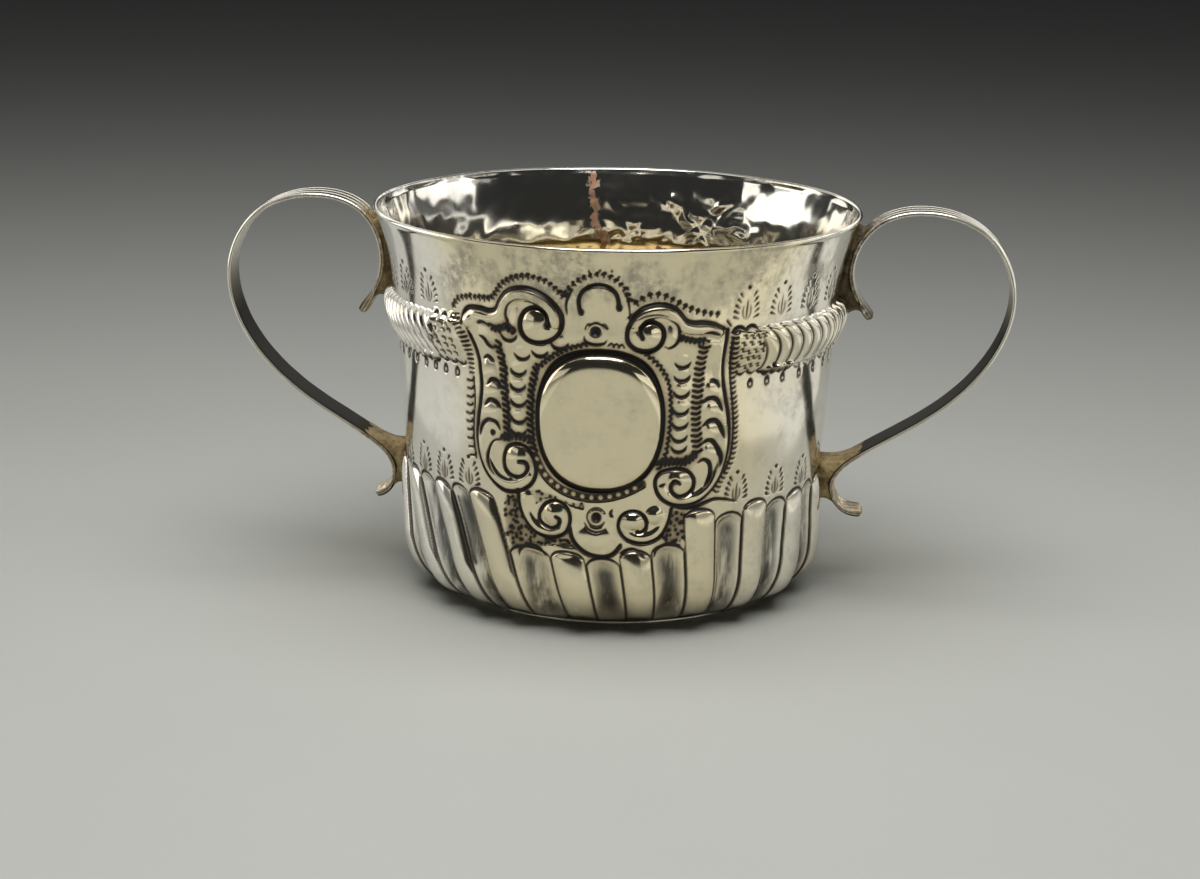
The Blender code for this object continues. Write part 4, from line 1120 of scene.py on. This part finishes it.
def makeSilver():
    look = silverLook
    finish = Finish("chased_silver")
    spot = finish.spot()
    x, y, height = finish.parts(spot)
    patina, grime, tarnish, inside = (finish.mask(name) for name in ("patina", "grime", "tarnish", "inside"))
    outside = 1 - inside
    clouds = finish.noise(spot, 16, 4, 0.6)
    fine = finish.noise(spot, 1.6, 4, 0.65)
    streaks = finish.noise(finish.stretch(spot, (1.0, 1.0, 0.18)), 2.2, 3, 0.6)

    # yellow tarnish, mostly on the front, to the right and in the bowl
    front = finish.ease(y, -0.024, -0.041)
    sides = finish.ease(x, 0.012, 0.032) * 0.26 - finish.ease(x, 0.0, -0.04) * 0.12
    farLow = finish.ease(y, 0.02, 0.042) * 0.018 - height
    warmth = finish.ease(front * 0.75 + clouds * 0.5 + sides, 0.25, 0.95) * outside
    warmth = warmth + inside * finish.ease(farLow, -0.062, -0.03) * 0.9

    # grey smudges under the rim and a thin mottled film
    neck = finish.ease(height, 0.0585, 0.066) * outside
    smudge = finish.ease(clouds * 0.75 + streaks * 0.25 + neck * 0.1, 0.56, 0.70) * (0.4 + 0.6 * neck)
    smudge = smudge * finish.ease(fine, 0.3, 0.62)
    film = finish.ease(finish.noise(spot, 5, 5, 0.7), 0.44, 0.66) * finish.ease(fine, 0.25, 0.6)
    film = outside * film * (0.45 + 0.55 * finish.ease(x, 0.0, 0.03))

    # darker brownish-gold tone low in the bowl and on its lower wall, and the brown streak down its far wall
    floorGold = inside * finish.ease(height, 0.016, 0.003)
    lowWall = inside * finish.ease(height, 0.058, 0.047)
    beside = x + 0.0104 - (0.071 - height) * 0.24 + (fine - 0.5) * 0.004 + (clouds - 0.5) * 0.012
    rust = inside * finish.ease(y, 0.02, 0.03) * finish.ease(height, 0.034, 0.048)
    rust = rust * finish.ease(beside * beside, 1.0e-6, 2.0e-7)
    rust = rust * finish.ease(streaks * 0.5 + fine * 0.5, 0.36, 0.52)

    # painted shade at the foot: the dark reflection of the contact shadow, painted brown in patches round
    # the bottom of the wall; dull hollows of the flutes, and black left in the chased lines
    foot = finish.ease(height - tarnish * 0.0035 - front * 0.001, 0.0078, 0.0032) * outside
    foot = foot * finish.ease(clouds * 0.5 + streaks * 0.5, 0.30, 0.50)
    dulled = tarnish * finish.ease(streaks * 0.6 + clouds * 0.4, 0.36, 0.56)
    soot = finish.ease(grime * 0.8 + fine * 0.35, 0.42, 0.95)
    edge = finish.ease(patina, 0.06, 0.45)
    deep = finish.ease(patina * 0.85 + grime * 0.25, 0.34, 0.82)

    colour = finish.tint(warmth, look["clean"], look["warm"])
    layers = [
        (smudge * 0.72, "smudge"), (film * 0.32, "smudge"), (dulled * 0.9, "tarnish"),
        (floorGold * (0.8 + 0.2 * clouds), "gold"), (lowWall * 0.4, "gold"), (rust * 0.85, "rust"),
        (soot * 0.6, "brown"), (edge * 0.6, "brown"), (foot * 0.6, "foot"), (deep, "black"),
    ]
    for share, name in layers:
        colour = finish.tint(share, colour, look[name])
    gloss = look["gloss"] + 0.05 * fine + look["smudgeGloss"] * smudge + look["tarnishGloss"] * dulled
    gloss = gloss + 0.12 * soot + 0.3 * floorGold + 0.4 * rust + 0.1 * film
    gloss = gloss * (1 - deep) + look["patinaGloss"] * deep
    scratches = finish.noise(finish.stretch(spot, (1.0, 1.0, 9.0)), 1.3, 2, 0.5)
    surface = finish.bump(scratches * 0.5 + fine * 0.5, 0.25, 0.012)
    finish.set(BaseColor=colour, Roughness=gloss, Metallic=1 - 0.75 * deep, Normal=surface)
    return finish


def makeStrapSilver():
    look = silverLook
    finish = Finish("strap_silver")
    spot = finish.spot()
    x, height = finish.parts(spot)[::2]
    groove, innerFace, soldered = (finish.mask(name) for name in ("groove", "innerFace", "soldered"))
    clouds = finish.noise(spot, 7, 3, 0.6)
    fine = finish.noise(spot, 0.8, 4, 0.7)
    tan = finish.ease(soldered * 0.8 + clouds * 0.5, 0.62, 0.95) * finish.ease(fine, 0.25, 0.6)
    dark = finish.ease(groove, 0.15, 0.9) * 0.75
    # painted shade: the strap's inner face, turned to the wall, is made near black below 50 mm, fading out
    # by 66 mm
    black = innerFace * finish.ease(height, 0.066, 0.050)
    high = finish.ease(height, 0.045, 0.058) * finish.ease(x, -0.01, 0.01)
    colour = finish.tint(clouds * 0.5, look["clean"], look["warm"])
    colour = finish.tint(black * 0.96, colour, look["innerFace"])
    heated = finish.tint(high, look["tan"], look["scorched"])
    colour = finish.tint(tan * (0.85 - 0.7 * innerFace), colour, heated)
    colour = finish.tint(dark, colour, look["black"])
    gloss = 0.14 + 0.1 * fine + 0.28 * tan + 0.2 * dark + 0.42 * black
    surface = finish.bump(fine, 0.3, 0.03)
    finish.set(BaseColor=colour, Roughness=gloss, Metallic=1 - 0.5 * dark, Normal=surface)
    return finish


def makeWireSilver():
    look = silverLook
    finish = Finish("foot_silver")
    spot = finish.spot()
    clouds = finish.noise(spot, 5, 4, 0.6)
    height = finish.parts(spot)[2]
    grime = finish.ease(height, 0.0007, 0.0012) * finish.ease(clouds, 0.3, 0.6)
    colour = finish.tint(clouds * 0.6, look["clean"], look["warm"])
    colour = finish.tint(grime * 0.85, colour, look["black"])
    surface = finish.bump(clouds, 0.3, 0.05)
    finish.set(BaseColor=colour, Roughness=0.16 + 0.2 * clouds, Metallic=1.0, Normal=surface)
    return finish


def makeSolderLook():
    look = solderLook
    finish = Finish("brown_solder")
    spot = finish.spot()
    x, height = finish.parts(spot)[::2]
    grain = finish.noise(spot, 0.45, 5, 0.75)
    clouds = finish.noise(spot, 2.6, 4, 0.65)
    pits = finish.ease(finish.noise(spot, 0.7, 3, 0.6), 0.32, 0.5)
    high = finish.ease(height, 0.045, 0.058) * (0.25 + 0.75 * finish.ease(x, -0.01, 0.01))
    colour = finish.tint(finish.ease(clouds, 0.3, 0.65), look["dark"], look["pale"])
    colour = finish.tint(finish.ease(grain, 0.45, 0.75) * 0.5, colour, look["grain"])
    colour = finish.tint((1 - pits) * 0.45, colour, look["pit"])
    colour = finish.tint(high * (0.7 + 0.3 * finish.ease(clouds, 0.7, 0.3)), colour, look["burnt"])
    surface = finish.bump(grain * 0.6 + pits * 0.6, 0.7, 0.12)
    finish.set(BaseColor=colour, Roughness=0.42 + 0.3 * grain, Metallic=0.55, Normal=surface)
    return finish


# Floor, lamps and camera

studio = {
    "floor": (0.60, 0.605, 0.56, 1), "room": (0.022, 0.023, 0.024, 1),
    "keyColour": (1.0, 1.0, 1.0), "cardColour": (1.0, 0.985, 0.95),
    "key": ((0.01, -0.15, 0.50), 0.60, 0.51, 3.0, (0.01, -0.2, 0)),
    "cards": [  # name, place, width, height, power in watts, aim
        ("key_card", (0.01, -0.20, 0.60), 0.42, 0.34, 3.7, (0, -0.1, 0)),
        ("left_window", (-0.45, 0.05, 0.19), 0.38, 0.34, 0.55, (0, 0, 0.19)),
        ("back_card", (0.0, 0.95, 0.41), 1.9, 0.32, 2.1, (0, 0, 0.41)),
        ("left_high_card", (-0.62, 0.38, 0.54), 0.9, 0.36, 0.55, (0, 0, 0.05)),
        ("right_high_card", (0.62, 0.38, 0.54), 0.9, 0.36, 0.55, (0, 0, 0.05)),
        ("left_card", (-0.120, -0.05, 0.032), 0.30, 0.064, 0.0105, (0, -0.05, 0.032)),
        ("right_card", (0.122, -0.05, 0.032), 0.30, 0.064, 0.0185, (0, -0.05, 0.032)),
        ("right_low_card", (0.62, 0.31, 0.17), 0.5, 0.14, 0.018, (0, 0, 0.17)),
        ("left_strip", (-0.120, -0.05, 0.073), 0.30, 0.036, 0.018, (0, -0.05, 0.053)),
        ("right_strip", (0.122, -0.05, 0.073), 0.30, 0.036, 0.027, (0, -0.05, 0.053)),
        ("right_window", (0.5, 0.20, 0.30), 0.40, 0.14, 0.19, (0, 0, 0.055)),
        ("left_top_card", (-0.33, 0.05, 0.62), 0.5, 0.36, 0.36, (0, 0, 0.05)),
        ("right_top_card", (0.33, 0.05, 0.62), 0.5, 0.36, 0.36, (0, 0, 0.05)),
    ],
}
# Camera in millimetres and degrees; focal, axis and size are in the photograph's pixels
photoView = {
    "target": 35.0, "distance": 500.0, "pitch": 14.01, "turn": 4.0, "roll": 1.15,
    "focal": 2605.0, "axis": (614.2, 400.2), "size": (1200, 879), "sensor": 36.0,
}


def makeFloor():
    finish = Finish("pale_table")
    spot = finish.spot()
    mottle = finish.noise(spot, 60, 3, 0.5)
    paper = finish.noise(spot, 1.1, 2, 0.6)
    darker = tuple(0.95 * value for value in studio["floor"][:3]) + (1,)
    colour = finish.tint(mottle, studio["floor"], darker)
    finish.set(BaseColor=colour, Roughness=0.62, Normal=finish.bump(paper, 0.12, 0.15))
    finish.shader.inputs["Specular IOR Level"].default_value = 0.0
    mesh = bpy.data.meshes.new("table")
    mesh.from_pydata([(-3, -3, 0), (3, -3, 0), (3, 3, 0), (-3, 3, 0)], [], [(0, 1, 2, 3)])
    table = bpy.data.objects.new("table", mesh)
    mesh.materials.append(finish.material)
    bpy.context.scene.collection.objects.link(table)


def makeLamp(name, place, wide, tall, power, aim, colour):
    lamp = bpy.data.lights.new(name, "AREA")
    lamp.shape = "RECTANGLE"
    lamp.size = wide
    lamp.size_y = tall
    lamp.energy = power
    lamp.color = colour
    stand = bpy.data.objects.new(name, lamp)
    bpy.context.scene.collection.objects.link(stand)
    stand.location = place
    way = np.array(aim) - np.array(place)
    pitch = math.acos(-way[2] / np.linalg.norm(way))
    stand.rotation_euler = (pitch, 0.0, math.atan2(way[1], way[0]) - math.pi / 2)
    return stand


def makeRoom():
    world = bpy.data.worlds.new("studio")
    bpy.context.scene.world = world
    world.use_nodes = True
    back = world.node_tree.nodes["Background"]
    back.inputs["Color"].default_value = studio["room"]
    back.inputs["Strength"].default_value = 1.0
    key = makeLamp("key_softbox", *studio["key"], studio["keyColour"])
    key.visible_glossy = False
    for shape in studio["cards"]:
        card = makeLamp(*shape, studio["cardColour"])
        card.visible_diffuse = False  # the cards are seen only in the silver
        card.visible_camera = False
    bpy.context.scene.view_settings.view_transform = "Standard"
    print("room lit")


def makeCamera():
    view = photoView
    pitch, turn, roll = (math.radians(view[key]) for key in ("pitch", "turn", "roll"))
    back = np.array([math.sin(turn) * math.cos(pitch), -math.cos(turn) * math.cos(pitch), math.sin(pitch)])
    right = np.array([math.cos(turn), math.sin(turn), 0.0])
    up = np.cross(back, right)
    acrossAxis = math.cos(roll) * right + math.sin(roll) * up
    upAxis = -math.sin(roll) * right + math.cos(roll) * up
    place = (np.array([0, 0, view["target"]]) + view["distance"] * back) * milli
    data = bpy.data.cameras.new("photo_view")
    camera = bpy.data.objects.new("photo_view", data)
    bpy.context.scene.collection.objects.link(camera)
    matrix = np.eye(4)
    matrix[:3, 0], matrix[:3, 1], matrix[:3, 2], matrix[:3, 3] = acrossAxis, upAxis, back, place
    camera.matrix_world = Matrix(matrix.tolist())
    wide, tall = view["size"]
    data.sensor_width = view["sensor"]
    data.sensor_fit = "HORIZONTAL"
    data.lens = view["sensor"] * view["focal"] / wide
    data.shift_x = (wide / 2 - view["axis"][0]) / wide
    data.shift_y = (view["axis"][1] - tall / 2) / wide
    data.clip_start = 0.02
    bpy.context.scene.camera = camera


makeBody(makeSilver())
makeHandles(makeStrapSilver())
makeSolder(makeSolderLook())
makeFoot(makeWireSilver())
makeFloor()
makeRoom()
makeCamera()
